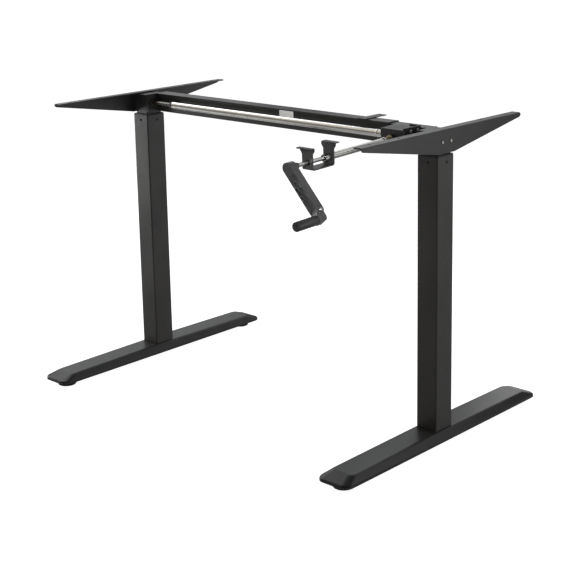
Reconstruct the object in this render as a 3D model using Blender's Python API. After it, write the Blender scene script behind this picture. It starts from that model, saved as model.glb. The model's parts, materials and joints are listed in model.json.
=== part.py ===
"""Height-adjustable standing desk frame with a hand crank.

Metres, +Z up. +X runs from the left leg to the right leg, +Y points to the back of the desk.
The origin is on the floor in the middle of the frame. The desk is at its lowest and narrowest.
"""

import math

import bmesh
import bpy
from mathutils import Matrix, Vector

# ---------------------------------------------------------------- driving sizes
GAP = 0.0003                      # left between pieces that touch
LEG_PITCH = 0.914                 # between the middles of the two legs, at the narrowest
LIFT_TRAVEL = 0.450               # how far the top rises
FRAME_HIGH = 0.702                # floor to the face that the tabletop rests on, at the lowest

FOOT_LONG = 0.690
FOOT_WIDE = 0.084
FOOT_TOP_LONG = 0.626             # the flat top, between the ramps
FOOT_TOP_WIDE = 0.059
FOOT_UNDER = 0.0146               # floor to the foot's rim
FOOT_TOP = 0.0360
FOOT_RIM = 0.0065                 # upright part of the side
FOOT_DROP = 0.0028                # the top falls by this much towards each end
FOOT_SHEET = 0.0020
FOOT_CORNER = 0.018

LEVELLER_AT = 0.306               # from the middle of the foot
LEVELLER_RADIUS = 0.0225
LEVELLER_HIGH = 0.0095
STEM_RADIUS = 0.0040
BOSS_RADIUS = 0.0072

COLUMN_WIDE = 0.0535              # lower column, along X
COLUMN_DEEP = 0.0572              # lower column, along Y
COLUMN_WALL = 0.0016
COLUMN_CORNER = 0.0030
COLUMN_TOP = 0.645
INNER_WIDE = 0.0432               # upper column
INNER_DEEP = 0.0466
INNER_WALL = 0.0015
INNER_BOTTOM = 0.078
GUIDE_SLIDE = 0.0003              # running clearance of the plastic guides
GUIDE_HIGH = 0.042

HOUSING_WIDE = 0.0510             # gear housing on top of the upper column
HOUSING_DEEP = 0.0545
HOUSING_BOTTOM = 0.656
HOUSING_ROOF = 0.0020

BRACKET_LONG = 0.550              # side bracket, front to back
BRACKET_SHEET = 0.0032
BRACKET_FLANGE = 0.0225           # width of the top flange
BRACKET_LOW = 0.651               # lowest edge, at the column
BRACKET_TIP = 0.692               # lower edge at the two ends
BRACKET_FLAT = 0.056              # length of the level stretch in the middle
BEND_RADIUS = 0.0045
BOLT_SPREAD = 0.030               # between the two bracket bolts
BOLT_UNDER_TOP = 0.0262
BOLT_RADIUS = 0.0025
BOLT_HEAD_RADIUS = 0.0048

BEAM_FRONT = 0.006                # Y of the beam's front face
BEAM_DEEP = 0.036
BEAM_HIGH = 0.046
BEAM_UNDER_TOP = 0.0025           # beam top below the tabletop face
BEAM_WALL = 0.0020
BEAM_SLIDE = 0.0004               # clearance between the two beam sections
OUTER_BEAM_END = 0.326            # X where the outer section stops
INNER_BEAM_END = -0.400           # X where the inner section stops, inside the outer one
END_PLATE = 0.0030
TAB_AT = 0.2545
TAB_WIDE = 0.022
TAB_BACK = 0.074

DRIVE_Y = -0.009                  # axis of the drive shaft and of the lead screws
DRIVE_UNDER_TOP = 0.0255
DRIVE_TUBE_RADIUS = 0.0085
DRIVE_TUBE_WALL = 0.0014
DRIVE_TUBE_START = -0.352
DRIVE_ROD_FLATS = 0.0090
DRIVE_ROD_END = 0.285
SHAFT_RADIUS = 0.0044
SHAFT_FIT = 0.0003                # radial clearance round a shaft

GEAR_TEETH = 12
GEAR_PITCH_RADIUS = 0.0095
GEAR_FACE = 0.0042                # length of the teeth along the axis
GEAR_ADDENDUM = 0.0011
GEAR_DEDENDUM = 0.0017
GEAR_HUB = 0.0030

SCREW_RADIUS = 0.0060
SCREW_BOTTOM = 0.125
NUT_TUBE_RADIUS = 0.0100
NUT_TUBE_BORE = 0.0074
NUT_TUBE_TOP = 0.618
NUT_LONG = 0.026
NUT_BORE = 0.0063
BEARING_HIGH = 0.008
BEARING_UNDER_GEAR = 0.0006

CRANK_X = 0.374                   # axis of the crank shaft
CRANK_TILT = math.radians(2.0)    # the shaft hangs a little towards the front
CASE_LEFT = 0.0260                # gearbox walls, from the crank axis
CASE_RIGHT = 0.0340
CASE_FRONT = 0.0360
CASE_REAR = 0.0130
CASE_UP = 0.0215
CASE_DOWN = 0.0235
CASE_WALL = 0.0030
CASE_ROOF = 0.0080
CASE_BACK = 0.0012
CASE_SCREWS = (-0.0170, 0.0060)   # from the drive shaft, front to back
CASE_SCREW_HOLE = 0.0019
PINION_SHAFT_END = 0.078          # distances along the crank shaft start at the drive shaft
CRANK_TUBE_START = 0.062
CRANK_TUBE_END = 0.2330
CRANK_TUBE_RADIUS = 0.0073
CRANK_TUBE_WALL = 0.0014
CRANK_ROD_FLATS = 0.0076
CRANK_ROD_START = 0.120
COLLAR_RADIUS = 0.0084
COLLAR_LONG = 0.0130
EAR_REAR = 0.2350                 # rear ear of the crank support
EAR_FRONT = 0.2985
EAR_SHEET = 0.0024
EAR_WIDE = 0.0285
EAR_TOP_WIDE = 0.0380
EAR_UP = 0.0334                   # shaft axis to the top of the tabs
EAR_DOWN = 0.0160
TAB_LONG = 0.0110
BUSH_RADIUS = 0.0062
BUSH_FLANGE = 0.0076

ARM_ANGLE = math.radians(40.6)    # from straight down towards the right
ARM_REAR = 0.3430
ARM_DEEP = 0.0182
ARM_WIDE = 0.0230
ARM_WALL = 0.0022
BOSS_LONG = 0.0125                # boss behind the arm, round the rod
BOSS_WIDE = 0.0062
SOCKET_DEEP = 0.0145
ARM_PIVOT = 0.1054                # crank axis to the fold pivot
SCOOP_START = 0.0135              # the channel's ramp under the hub, from the crank axis
SCOOP_MIDDLE = 0.0230
SCOOP_END = 0.0390
SCOOP_ANGLES = [math.pi * i / 8 for i in range(9)]
PIVOT_INSET = 0.0092              # fold pivot in front of the arm's rear face
GRIP_OFFSET = 0.0150              # grip axis beyond the fold pivot
GRIP_RADIUS = 0.0098
GRIP_LONG = 0.0600
GRIP_START = 0.0235               # in front of the arm's rear face
SPINDLE_RADIUS = 0.0036
KNUCKLE_RADIUS = 0.0086
PIN_RADIUS = 0.0025

# ---------------------------------------------------------------- sizes that follow
DRIVE_Z = FRAME_HIGH - DRIVE_UNDER_TOP
BEAM_TOP = FRAME_HIGH - BEAM_UNDER_TOP
HOUSING_TOP = FRAME_HIGH - BRACKET_SHEET - 2 * GAP
INNER_TOP = HOUSING_TOP - HOUSING_ROOF - GAP
BRACKET_FACE = LEG_PITCH / 2 + HOUSING_WIDE / 2 + GAP
PLATE_FACE = LEG_PITCH / 2 - HOUSING_WIDE / 2 - GAP
ROUND_STEPS = 24


# ---------------------------------------------------------------- scene helpers
def clear_scene():
    for item in list(bpy.data.objects):
        bpy.data.objects.remove(item, do_unlink=True)


def material(name, colour, roughness, metallic):
    """A Principled BSDF material, made once for each name."""
    found = bpy.data.materials.get(name)
    if found:
        return found
    made = bpy.data.materials.new(name)
    made.use_nodes = True
    shader = made.node_tree.nodes["Principled BSDF"]
    shader.inputs["Base Color"].default_value = (*colour, 1.0)
    shader.inputs["Roughness"].default_value = roughness
    shader.inputs["Metallic"].default_value = metallic
    made.diffuse_color = (*colour, 1.0)
    return made


def powder_coat():
    return material("powder_coat", (0.045, 0.047, 0.048), 0.42, 0.0)


def black_plastic():
    return material("black_plastic", (0.018, 0.018, 0.019), 0.45, 0.0)


def chrome():
    return material("polished_steel", (0.72, 0.72, 0.70), 0.16, 1.0)


def steel():
    return material("zinc_steel", (0.60, 0.60, 0.58), 0.32, 1.0)


def brass():
    return material("brass", (0.62, 0.50, 0.26), 0.30, 1.0)


def finish(name, mesh_data, look, parent=None, smooth=30.0):
    """Turns a bmesh into a named object with its faces pointing out."""
    bmesh.ops.remove_doubles(mesh_data, verts=mesh_data.verts, dist=1e-7)
    bmesh.ops.recalc_face_normals(mesh_data, faces=mesh_data.faces)
    mesh = bpy.data.meshes.new(name)
    mesh_data.to_mesh(mesh)
    mesh_data.free()
    mesh.shade_smooth()
    mesh.set_sharp_from_angle(angle=math.radians(smooth))
    made = bpy.data.objects.new(name, mesh)
    bpy.context.scene.collection.objects.link(made)
    if look:
        mesh.materials.append(look)
    made.parent = parent
    return made


def hide_guide(guide):
    guide.hide_render = True
    guide.display_type = "WIRE"


def boolean(target, tool, operation):
    hide_guide(tool)
    tool.parent = target.parent
    step = target.modifiers.new(operation.lower(), "BOOLEAN")
    step.operation = operation
    step.object = tool
    return target


# ---------------------------------------------------------------- shapes
def circle_points(radius, steps=ROUND_STEPS, start=0.0):
    turn = 2 * math.pi / steps
    return [(radius * math.cos(start + turn * i), radius * math.sin(start + turn * i)) for i in range(steps)]


def rounded_rectangle(wide, deep, radius, steps=4):
    """Corner points of a rectangle with round corners, anticlockwise."""
    corners = []
    for quarter, (sx, sy) in enumerate(((1, 1), (-1, 1), (-1, -1), (1, -1))):
        cx, cy = sx * (wide / 2 - radius), sy * (deep / 2 - radius)
        for i in range(steps + 1):
            angle = math.pi / 2 * (quarter + i / steps)
            corners.append((cx + radius * math.cos(angle), cy + radius * math.sin(angle)))
    return corners


def loft(rings, closed=False):
    """A bmesh skinned through rings of (x, y, z) points. Its ends are capped, unless it closes on itself."""
    mesh_data = bmesh.new()
    made = [[mesh_data.verts.new(p) for p in ring] for ring in rings]
    pairs = list(zip(made, made[1:]))
    if closed:
        pairs.append((made[-1], made[0]))
    for low, high in pairs:
        for i, vertex in enumerate(low):
            j = (i + 1) % len(low)
            mesh_data.faces.new((vertex, low[j], high[j], high[i]))
    if not closed:
        mesh_data.faces.new(list(reversed(made[0])))
        mesh_data.faces.new(made[-1])
    return mesh_data


def ring_at(outline, z):
    return [(x, y, z) for x, y in outline]


def extruded(outline, low, high):
    return loft([ring_at(outline, low), ring_at(outline, high)])


def box(low, high):
    (x0, y0, z0), (x1, y1, z1) = low, high
    return extruded([(x0, y0), (x1, y0), (x1, y1), (x0, y1)], z0, z1)


def rectangular_ring(outer, inner, low, high):
    """A tube between two outlines."""
    return loft([ring_at(outer, low), ring_at(outer, high), ring_at(inner, high), ring_at(inner, low)], closed=True)


def turned(profile, steps=ROUND_STEPS):
    """A solid of revolution about Z. The profile's (radius, height) points close on themselves or on the axis."""
    mesh_data = bmesh.new()
    points = [mesh_data.verts.new((radius, 0.0, height)) for radius, height in profile]
    edges = [mesh_data.edges.new(pair) for pair in zip(points, points[1:])]
    if profile[0][0] > 0:
        edges.append(mesh_data.edges.new((points[-1], points[0])))
    bmesh.ops.spin(
        mesh_data, geom=points + edges, cent=(0, 0, 0), axis=(0, 0, 1), angle=2 * math.pi, steps=steps,
        use_merge=True,
    )
    bmesh.ops.remove_doubles(mesh_data, verts=mesh_data.verts, dist=1e-6)
    return mesh_data


def rod(radius, low, high, steps=ROUND_STEPS):
    return turned([(0, low), (radius, low), (radius, high), (0, high)], steps)


def bush(outer, inner, low, high, steps=ROUND_STEPS):
    return turned([(inner, low), (outer, low), (outer, high), (inner, high)], steps)


def hexagon(flats, low, high):
    return extruded(circle_points(flats / math.sqrt(3), 6), low, high)


def turn_mesh(mesh_data, matrix):
    bmesh.ops.transform(mesh_data, matrix=matrix, verts=mesh_data.verts)
    return mesh_data


ALONG_X = Matrix.Rotation(math.pi / 2, 4, "Y")
ALONG_BACK = Matrix.Rotation(-math.pi / 2, 4, "X")     # local Z turned to +Y
ALONG_FRONT = Matrix.Rotation(math.pi / 2, 4, "X")     # local Z turned to -Y


def drill(name, target, radius, matrix, long):
    """A round hole, centred where the matrix puts it and running along its Z."""
    cutter = turn_mesh(rod(radius, -long / 2, long / 2, 20), matrix)
    return boolean(target, finish(name, cutter, None), "DIFFERENCE")


def bevel_gear(hub_long, bore):
    """A mitre gear whose teeth point to an apex on +Z, one pitch radius over the back of the teeth."""
    apex = GEAR_PITCH_RADIUS
    pitch = 2 * math.pi / GEAR_TEETH
    tip, root = GEAR_PITCH_RADIUS + GEAR_ADDENDUM, GEAR_PITCH_RADIUS - GEAR_DEDENDUM
    outline = []
    for tooth in range(GEAR_TEETH):
        middle = tooth * pitch
        for radius, share in ((root, -0.25), (tip, -0.13), (tip, 0.13), (root, 0.25)):
            angle = middle + share * pitch
            outline.append((radius * math.cos(angle), radius * math.sin(angle)))
    shrink = (apex - GEAR_FACE) / apex
    count = len(outline)
    hub = circle_points(root * 0.97, count, -0.25 * pitch)
    small = [(x * shrink, y * shrink) for x, y in outline]
    hole = circle_points(bore, count, -0.25 * pitch)
    return loft(
        [
            ring_at(hub, -hub_long), ring_at(hub, -0.0004), ring_at(outline, 0.0), ring_at(small, GEAR_FACE),
            ring_at(hole, GEAR_FACE), ring_at(hole, -hub_long),
        ],
        closed=True,
    )


# ---------------------------------------------------------------- base of a leg
def foot(name, x):
    """A pressed steel shell, open underneath, with a threaded boss at each end."""
    shoulder = FOOT_TOP - 0.0028
    side_steps = (
        (FOOT_WIDE, FOOT_LONG, FOOT_UNDER, FOOT_CORNER),
        (FOOT_WIDE, FOOT_LONG, FOOT_UNDER + FOOT_RIM, FOOT_CORNER),
        (FOOT_WIDE - 0.0022, FOOT_LONG - 0.0030, FOOT_UNDER + FOOT_RIM + 0.0020, FOOT_CORNER - 0.001),
        (FOOT_TOP_WIDE + 0.0066, FOOT_TOP_LONG + 0.0120, shoulder, 0.0140),
        (FOOT_TOP_WIDE + 0.0026, FOOT_TOP_LONG + 0.0042, FOOT_TOP - 0.0007, 0.0125),
        (FOOT_TOP_WIDE, FOOT_TOP_LONG, FOOT_TOP, 0.0115),
    )
    outer = [ring_at(rounded_rectangle(w, d, r), z) for w, d, z, r in side_steps]
    thin = 2 * FOOT_SHEET
    inner = [
        ring_at(rounded_rectangle(w - thin, d - thin, r - FOOT_SHEET), z - (FOOT_SHEET if z > FOOT_UNDER else 0))
        for w, d, z, r in (side_steps[0], side_steps[2], side_steps[3], side_steps[5])
    ]
    mesh_data = loft(list(reversed(inner)) + outer)
    level = COLUMN_DEEP / 2 + 0.004
    for y in (-level, level):
        geometry = mesh_data.verts[:] + mesh_data.edges[:] + mesh_data.faces[:]
        bmesh.ops.bisect_plane(mesh_data, geom=geometry, dist=1e-7, plane_co=(0, y, 0), plane_no=(0, 1, 0))
    for vertex in mesh_data.verts:
        share = max(0.0, abs(vertex.co.y) - level) / (FOOT_TOP_LONG / 2 - level)
        height = max(0.0, vertex.co.z - FOOT_UNDER - FOOT_RIM) / (FOOT_TOP - FOOT_UNDER - FOOT_RIM)
        vertex.co.z -= FOOT_DROP * min(share, 1.0) * height
    made = finish(name, mesh_data, powder_coat())
    made.location.x = x
    for end in (-1, 1):
        top = FOOT_TOP - FOOT_DROP - FOOT_SHEET / 2
        boss = finish(f"{name}_boss_{end}", rod(BOSS_RADIUS, FOOT_UNDER + 0.001, top, 20), None)
        boss.location = (x, end * LEVELLER_AT, 0)
        boolean(made, boss, "UNION")
        bore_top = top - 0.003
        bore = finish(f"{name}_bore_{end}", rod(STEM_RADIUS + SHAFT_FIT, 0, bore_top, 18), None)
        bore.location = (x, end * LEVELLER_AT, 0)
        boolean(made, bore, "DIFFERENCE")
    return made


def leveller(name, x, y):
    """A screw-in foot pad."""
    lip = 0.0022
    profile = [
        (0, 0), (LEVELLER_RADIUS - lip, 0), (LEVELLER_RADIUS, lip), (LEVELLER_RADIUS, LEVELLER_HIGH - lip),
        (LEVELLER_RADIUS - lip, LEVELLER_HIGH), (STEM_RADIUS, LEVELLER_HIGH),
        (STEM_RADIUS, FOOT_TOP - FOOT_DROP - FOOT_SHEET / 2 - 0.004), (0, FOOT_TOP - FOOT_DROP - FOOT_SHEET / 2 - 0.004),
    ]
    made = finish(name, turned(profile), black_plastic())
    made.location = (x, y, 0)


def column_outlines(wide, deep, wall, corner=COLUMN_CORNER):
    outer = rounded_rectangle(wide, deep, corner)
    inner = rounded_rectangle(wide - 2 * wall, deep - 2 * wall, max(corner - wall, 0.0008))
    return outer, inner


def outer_column(name, x):
    outer, inner = column_outlines(COLUMN_WIDE, COLUMN_DEEP, COLUMN_WALL)
    made = finish(name, rectangular_ring(outer, inner, FOOT_TOP + GAP, COLUMN_TOP), powder_coat())
    made.location.x = x


def upper_guide(name, x):
    """A plastic sleeve in the mouth of the lower column. Its rim lies on the column's top edge."""
    outer, _ = column_outlines(COLUMN_WIDE - 2 * COLUMN_WALL - 2 * GAP, COLUMN_DEEP - 2 * COLUMN_WALL - 2 * GAP, 0.001,
                               0.0016)
    rim, _ = column_outlines(COLUMN_WIDE - 0.0016, COLUMN_DEEP - 0.0016, 0.001, 0.0024)
    bore, _ = column_outlines(INNER_WIDE + 2 * GUIDE_SLIDE, INNER_DEEP + 2 * GUIDE_SLIDE, 0.001, 0.0026)
    edge = COLUMN_TOP + GAP
    mesh_data = loft(
        [
            ring_at(bore, edge + 0.0022), ring_at(bore, COLUMN_TOP - GUIDE_HIGH), ring_at(outer, COLUMN_TOP - GUIDE_HIGH),
            ring_at(outer, edge), ring_at(rim, edge), ring_at(rim, edge + 0.0022),
        ],
        closed=True,
    )
    made = finish(name, mesh_data, black_plastic())
    made.location.x = x


def nut_tube(name, x):
    """The push tube. The nut at its top runs on the lead screw."""
    low = FOOT_TOP + GAP
    nut = NUT_TUBE_TOP - NUT_LONG
    profile = [
        (NUT_TUBE_BORE, low), (NUT_TUBE_RADIUS, low), (NUT_TUBE_RADIUS, NUT_TUBE_TOP), (NUT_BORE, NUT_TUBE_TOP),
        (NUT_BORE, nut), (NUT_TUBE_BORE, nut),
    ]
    made = finish(name, turned(profile, 20), steel())
    made.location = (x, DRIVE_Y, 0)


# ---------------------------------------------------------------- rising part of a leg
def inner_column(name, x, inward):
    outer, inner = column_outlines(INNER_WIDE, INNER_DEEP, INNER_WALL, 0.0025)
    made = finish(name, rectangular_ring(outer, inner, INNER_BOTTOM, INNER_TOP), powder_coat())
    made.location.x = x
    cut_shaft_and_bolts(name, made, x, inward, INNER_WIDE)


def cut_shaft_and_bolts(name, made, x, inward, wide):
    """The hole for the drive shaft on the inner side, and the two bolt holes on the outer side."""
    wall = 0.010
    place = Matrix.Translation((x + inward * wide / 2, DRIVE_Y, DRIVE_Z)) @ ALONG_X
    drill(f"{name}_shaft_hole", made, BUSH_RADIUS + SHAFT_FIT, place, wall)
    for side in (-1, 1):
        at = (x - inward * wide / 2, side * BOLT_SPREAD / 2, FRAME_HIGH - BOLT_UNDER_TOP)
        drill(f"{name}_bolt_hole_{side}", made, BOLT_RADIUS + SHAFT_FIT, Matrix.Translation(at) @ ALONG_X, wall)


def lower_guide(name, x):
    """A plastic shoe on the bottom end of the upper column."""
    outer, _ = column_outlines(
        COLUMN_WIDE - 2 * COLUMN_WALL - 2 * GUIDE_SLIDE, COLUMN_DEEP - 2 * COLUMN_WALL - 2 * GUIDE_SLIDE, 0.001, 0.0016)
    socket, _ = column_outlines(INNER_WIDE + 2 * GAP, INNER_DEEP + 2 * GAP, 0.001, 0.0026)
    mouth, _ = column_outlines(INNER_WIDE - 0.004, INNER_DEEP - 0.004, 0.001, 0.0016)
    floor = INNER_BOTTOM - GAP
    mesh_data = loft(
        [
            ring_at(mouth, floor - 0.004), ring_at(outer, floor - 0.004), ring_at(outer, floor + GUIDE_HIGH),
            ring_at(socket, floor + GUIDE_HIGH), ring_at(socket, floor), ring_at(mouth, floor),
        ],
        closed=True,
    )
    made = finish(name, mesh_data, black_plastic())
    made.location.x = x


def gear_housing(name, x, inward):
    """A cap that covers the upper column's top end, open underneath."""
    outer = rounded_rectangle(HOUSING_WIDE, HOUSING_DEEP, COLUMN_CORNER)
    inner = rounded_rectangle(INNER_WIDE + 2 * GAP, INNER_DEEP + 2 * GAP, 0.0026)
    mesh_data = loft(
        [
            ring_at(inner, HOUSING_TOP - HOUSING_ROOF), ring_at(inner, HOUSING_BOTTOM), ring_at(outer, HOUSING_BOTTOM),
            ring_at(outer, HOUSING_TOP),
        ]
    )
    made = finish(name, mesh_data, powder_coat())
    made.location.x = x
    cut_shaft_and_bolts(name, made, x, inward, HOUSING_WIDE - 0.006)


def bracket_edge(y):
    """Height of the bracket's lower edge. It rises from the column to both ends, which are rounded."""
    half, flat, nose = BRACKET_LONG / 2, BRACKET_FLAT / 2, 0.007
    reach = half - nose
    along = abs(y)
    slope = (BRACKET_TIP - BRACKET_LOW) / (reach - flat)
    height = BRACKET_LOW + slope * max(0.0, min(along, reach) - flat)
    if along > reach:
        rise = nose - math.sqrt(max(0.0, nose ** 2 - (along - reach) ** 2))
        height += min(rise, FRAME_HIGH - BEND_RADIUS - BRACKET_TIP - 0.0004)
    return height


def side_bracket(name, x, outward):
    """Bent sheet: an upright plate on the leg's outer side and a top flange turned towards the middle."""
    face = BRACKET_FACE * outward
    half, flat, nose = BRACKET_LONG / 2, BRACKET_FLAT / 2, 0.007
    stations = [-half + nose * (1 - math.cos(math.pi / 2 * i / 5)) for i in range(6)]
    stations += [-flat]
    stations += [-y for y in reversed(stations)]
    bend = BEND_RADIUS - BRACKET_SHEET
    arc = [(math.cos(math.pi / 2 * i / 4), math.sin(math.pi / 2 * i / 4)) for i in range(5)]
    top = FRAME_HIGH - BRACKET_SHEET
    rows = []
    for y in stations:
        row = [(face, y, bracket_edge(y))]
        row += [(face + outward * bend * (c - 1), y, top - bend + bend * s) for c, s in arc]
        row += [(face + outward * (BRACKET_SHEET - BRACKET_FLANGE), y, top)]
        rows.append(row)
    mesh_data = bmesh.new()
    grid = [[mesh_data.verts.new(p) for p in row] for row in rows]
    for one, two in zip(grid, grid[1:]):
        for i in range(len(one) - 1):
            mesh_data.faces.new((one[i], one[i + 1], two[i + 1], two[i]))
    bmesh.ops.recalc_face_normals(mesh_data, faces=mesh_data.faces)
    mesh_data.normal_update()
    widest = max(mesh_data.faces, key=lambda f: f.calc_area())
    if widest.normal.x * outward < 0:
        bmesh.ops.reverse_faces(mesh_data, faces=mesh_data.faces)
    mesh = bpy.data.meshes.new(name)
    mesh_data.to_mesh(mesh)
    mesh_data.free()
    mesh.materials.append(powder_coat())
    made = bpy.data.objects.new(name, mesh)
    bpy.context.scene.collection.objects.link(made)
    sheet = made.modifiers.new("sheet", "SOLIDIFY")
    sheet.thickness = BRACKET_SHEET
    sheet.offset = 1.0
    sheet.use_even_offset = True
    for side in (-1, 1):
        at = (face, side * BOLT_SPREAD / 2, FRAME_HIGH - BOLT_UNDER_TOP)
        drill(f"{name}_bolt_hole_{side}", made, BOLT_RADIUS + SHAFT_FIT, Matrix.Translation(at) @ ALONG_X, 0.012)
        for share in (0.52, 0.86):
            spot = (face - outward * BRACKET_FLANGE / 2, side * half * share, FRAME_HIGH)
            drill(f"{name}_top_hole_{side}_{share}", made, 0.0032, Matrix.Translation(spot), 0.012)
    return made


def bracket_bolt(name, outward, y):
    """A pan-head bolt through the bracket, the housing and the column."""
    head = 0.0024
    reach = BRACKET_SHEET + 2 * GAP + (HOUSING_WIDE - INNER_WIDE) / 2 + INNER_WALL + 0.002
    profile = [
        (0, head), (BOLT_HEAD_RADIUS * 0.6, head), (BOLT_HEAD_RADIUS * 0.9, head * 0.7), (BOLT_HEAD_RADIUS, GAP),
        (BOLT_RADIUS, GAP), (BOLT_RADIUS, -reach), (0, -reach),
    ]
    turn = Matrix.Rotation(outward * math.pi / 2, 4, "Y")
    made = finish(name, turn_mesh(turned(profile, 16), turn), steel())
    made.location = (outward * (BRACKET_FACE + BRACKET_SHEET), y, FRAME_HIGH - BOLT_UNDER_TOP)


# ---------------------------------------------------------------- lifting drive in a leg
def lead_screw(name, x):
    """Rotates in the bearing under its gear. The nut climbs on it."""
    gear_back = DRIVE_Z - GEAR_PITCH_RADIUS
    top = gear_back + GEAR_FACE - GAP
    collar = gear_back - GEAR_HUB - BEARING_UNDER_GEAR - BEARING_HIGH - GAP
    profile = [
        (0, SCREW_BOTTOM), (SCREW_RADIUS - 0.001, SCREW_BOTTOM), (SCREW_RADIUS, SCREW_BOTTOM + 0.001),
        (SCREW_RADIUS, collar), (SHAFT_RADIUS, collar), (SHAFT_RADIUS, top), (0, top),
    ]
    made = finish(name, turned(profile, 20), steel())
    made.location = (x, DRIVE_Y, 0)


def screw_bearing(name, x):
    """A block across the upper column, which carries the lead screw."""
    gear_back = DRIVE_Z - GEAR_PITCH_RADIUS
    top = gear_back - GEAR_HUB - BEARING_UNDER_GEAR
    outline = rounded_rectangle(INNER_WIDE - 2 * INNER_WALL - 2 * GAP, INNER_DEEP - 2 * INNER_WALL - 2 * GAP, 0.0010)
    made = finish(name, extruded(outline, top - BEARING_HIGH, top), steel())
    made.location.x = x
    drill(f"{name}_bore", made, SHAFT_RADIUS + SHAFT_FIT, Matrix.Translation((x, DRIVE_Y, top)), 0.04)


def mitre_gear(name, place, phase, parent=None):
    """A mitre gear on a shaft. A phase of half a pitch puts a gap where the other gear has a tooth."""
    mesh_data = bevel_gear(GEAR_HUB, SHAFT_RADIUS + SHAFT_FIT)
    turn_mesh(mesh_data, Matrix.Rotation(phase, 4, "Z"))
    made = finish(name, turn_mesh(mesh_data, place.to_3x3().to_4x4()), steel(), parent)
    made.location = place.translation


def leg(side, label):
    x = side * LEG_PITCH / 2
    foot(f"{label}_foot", x)
    leveller(f"{label}_leveller_front", x, -LEVELLER_AT)
    leveller(f"{label}_leveller_rear", x, LEVELLER_AT)
    outer_column(f"{label}_outer_column", x)
    upper_guide(f"{label}_upper_guide", x)
    nut_tube(f"{label}_nut_tube", x)
    inner_column(f"{label}_inner_column", x, -side)
    lower_guide(f"{label}_lower_guide", x)
    gear_housing(f"{label}_gear_housing", x, -side)
    side_bracket(f"{label}_side_bracket", x, side)
    bracket_bolt(f"{label}_bracket_bolt_front", side, -BOLT_SPREAD / 2)
    bracket_bolt(f"{label}_bracket_bolt_rear", side, BOLT_SPREAD / 2)
    lead_screw(f"{label}_lead_screw", x)
    screw_bearing(f"{label}_screw_bearing", x)
    shaft_bush(f"{label}_shaft_bush", side)
    half_pitch = math.pi / GEAR_TEETH
    below = Matrix.Translation((x, DRIVE_Y, DRIVE_Z - GEAR_PITCH_RADIUS))
    mitre_gear(f"{label}_screw_gear", below, 0.0)
    beside = Matrix.Translation((x - side * GEAR_PITCH_RADIUS, DRIVE_Y, DRIVE_Z))
    mitre_gear(f"{label}_drive_gear", beside @ Matrix.Rotation(side * math.pi / 2, 4, "Y"), half_pitch)


def shaft_bush(name, side):
    """A flanged brass bush, where the drive shaft enters the leg."""
    flange, depth = 0.0016, 0.0085
    bore = SHAFT_RADIUS + SHAFT_FIT if side > 0 else DRIVE_ROD_FLATS / math.sqrt(3) + SHAFT_FIT
    profile = [
        (bore, -depth), (BUSH_RADIUS, -depth), (BUSH_RADIUS, GAP), (BUSH_FLANGE, GAP), (BUSH_FLANGE, flange),
        (bore, flange),
    ]
    turn = Matrix.Rotation(-side * math.pi / 2, 4, "Y")
    made = finish(name, turn_mesh(turned(profile, 20), turn), brass())
    made.location = (side * (PLATE_FACE - END_PLATE), DRIVE_Y, DRIVE_Z)


# ---------------------------------------------------------------- crossbeam
def beam_section(name, deep, high, plate_side, plate_at, free_end):
    """A rectangular tube along X, with an end plate that bolts to the gear housing."""
    outer, inner = column_outlines(high, deep, BEAM_WALL, 0.0024)
    start, stop = sorted((plate_at - plate_side * END_PLATE / 2, free_end))
    middle = Vector((0, BEAM_FRONT + BEAM_DEEP / 2, BEAM_TOP - BEAM_HIGH / 2))
    made = finish(name, turn_mesh(rectangular_ring(outer, inner, start, stop), ALONG_X), powder_coat())
    made.location = middle
    back = middle.y + deep / 2
    x0, x1 = sorted((plate_at, plate_at - plate_side * END_PLATE))
    plate = box((x0, -HOUSING_DEEP / 2, HOUSING_BOTTOM), (x1, back, BEAM_TOP - (BEAM_HIGH - high) / 2))
    boolean(made, finish(f"{name}_plate", plate, None), "UNION")
    hole = Matrix.Translation((plate_at, DRIVE_Y, DRIVE_Z)) @ ALONG_X
    drill(f"{name}_shaft_hole", made, BUSH_RADIUS + SHAFT_FIT, hole, 0.02)


def crossbeam():
    beam_section("outer_beam", BEAM_DEEP, BEAM_HIGH, -1, -PLATE_FACE, OUTER_BEAM_END)
    thinner = 2 * (BEAM_WALL + BEAM_SLIDE)
    beam_section("inner_beam", BEAM_DEEP - thinner, BEAM_HIGH - thinner, 1, PLATE_FACE, INNER_BEAM_END)
    low = (TAB_AT - TAB_WIDE / 2, BEAM_FRONT - 0.007, BEAM_TOP + GAP)
    high = (TAB_AT + TAB_WIDE / 2, TAB_BACK, FRAME_HIGH)
    tab = finish("beam_tab", box(low, high), powder_coat())
    drill("beam_tab_hole", tab, 0.0032, Matrix.Translation((TAB_AT, TAB_BACK - 0.010, FRAME_HIGH)), 0.02)


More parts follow.
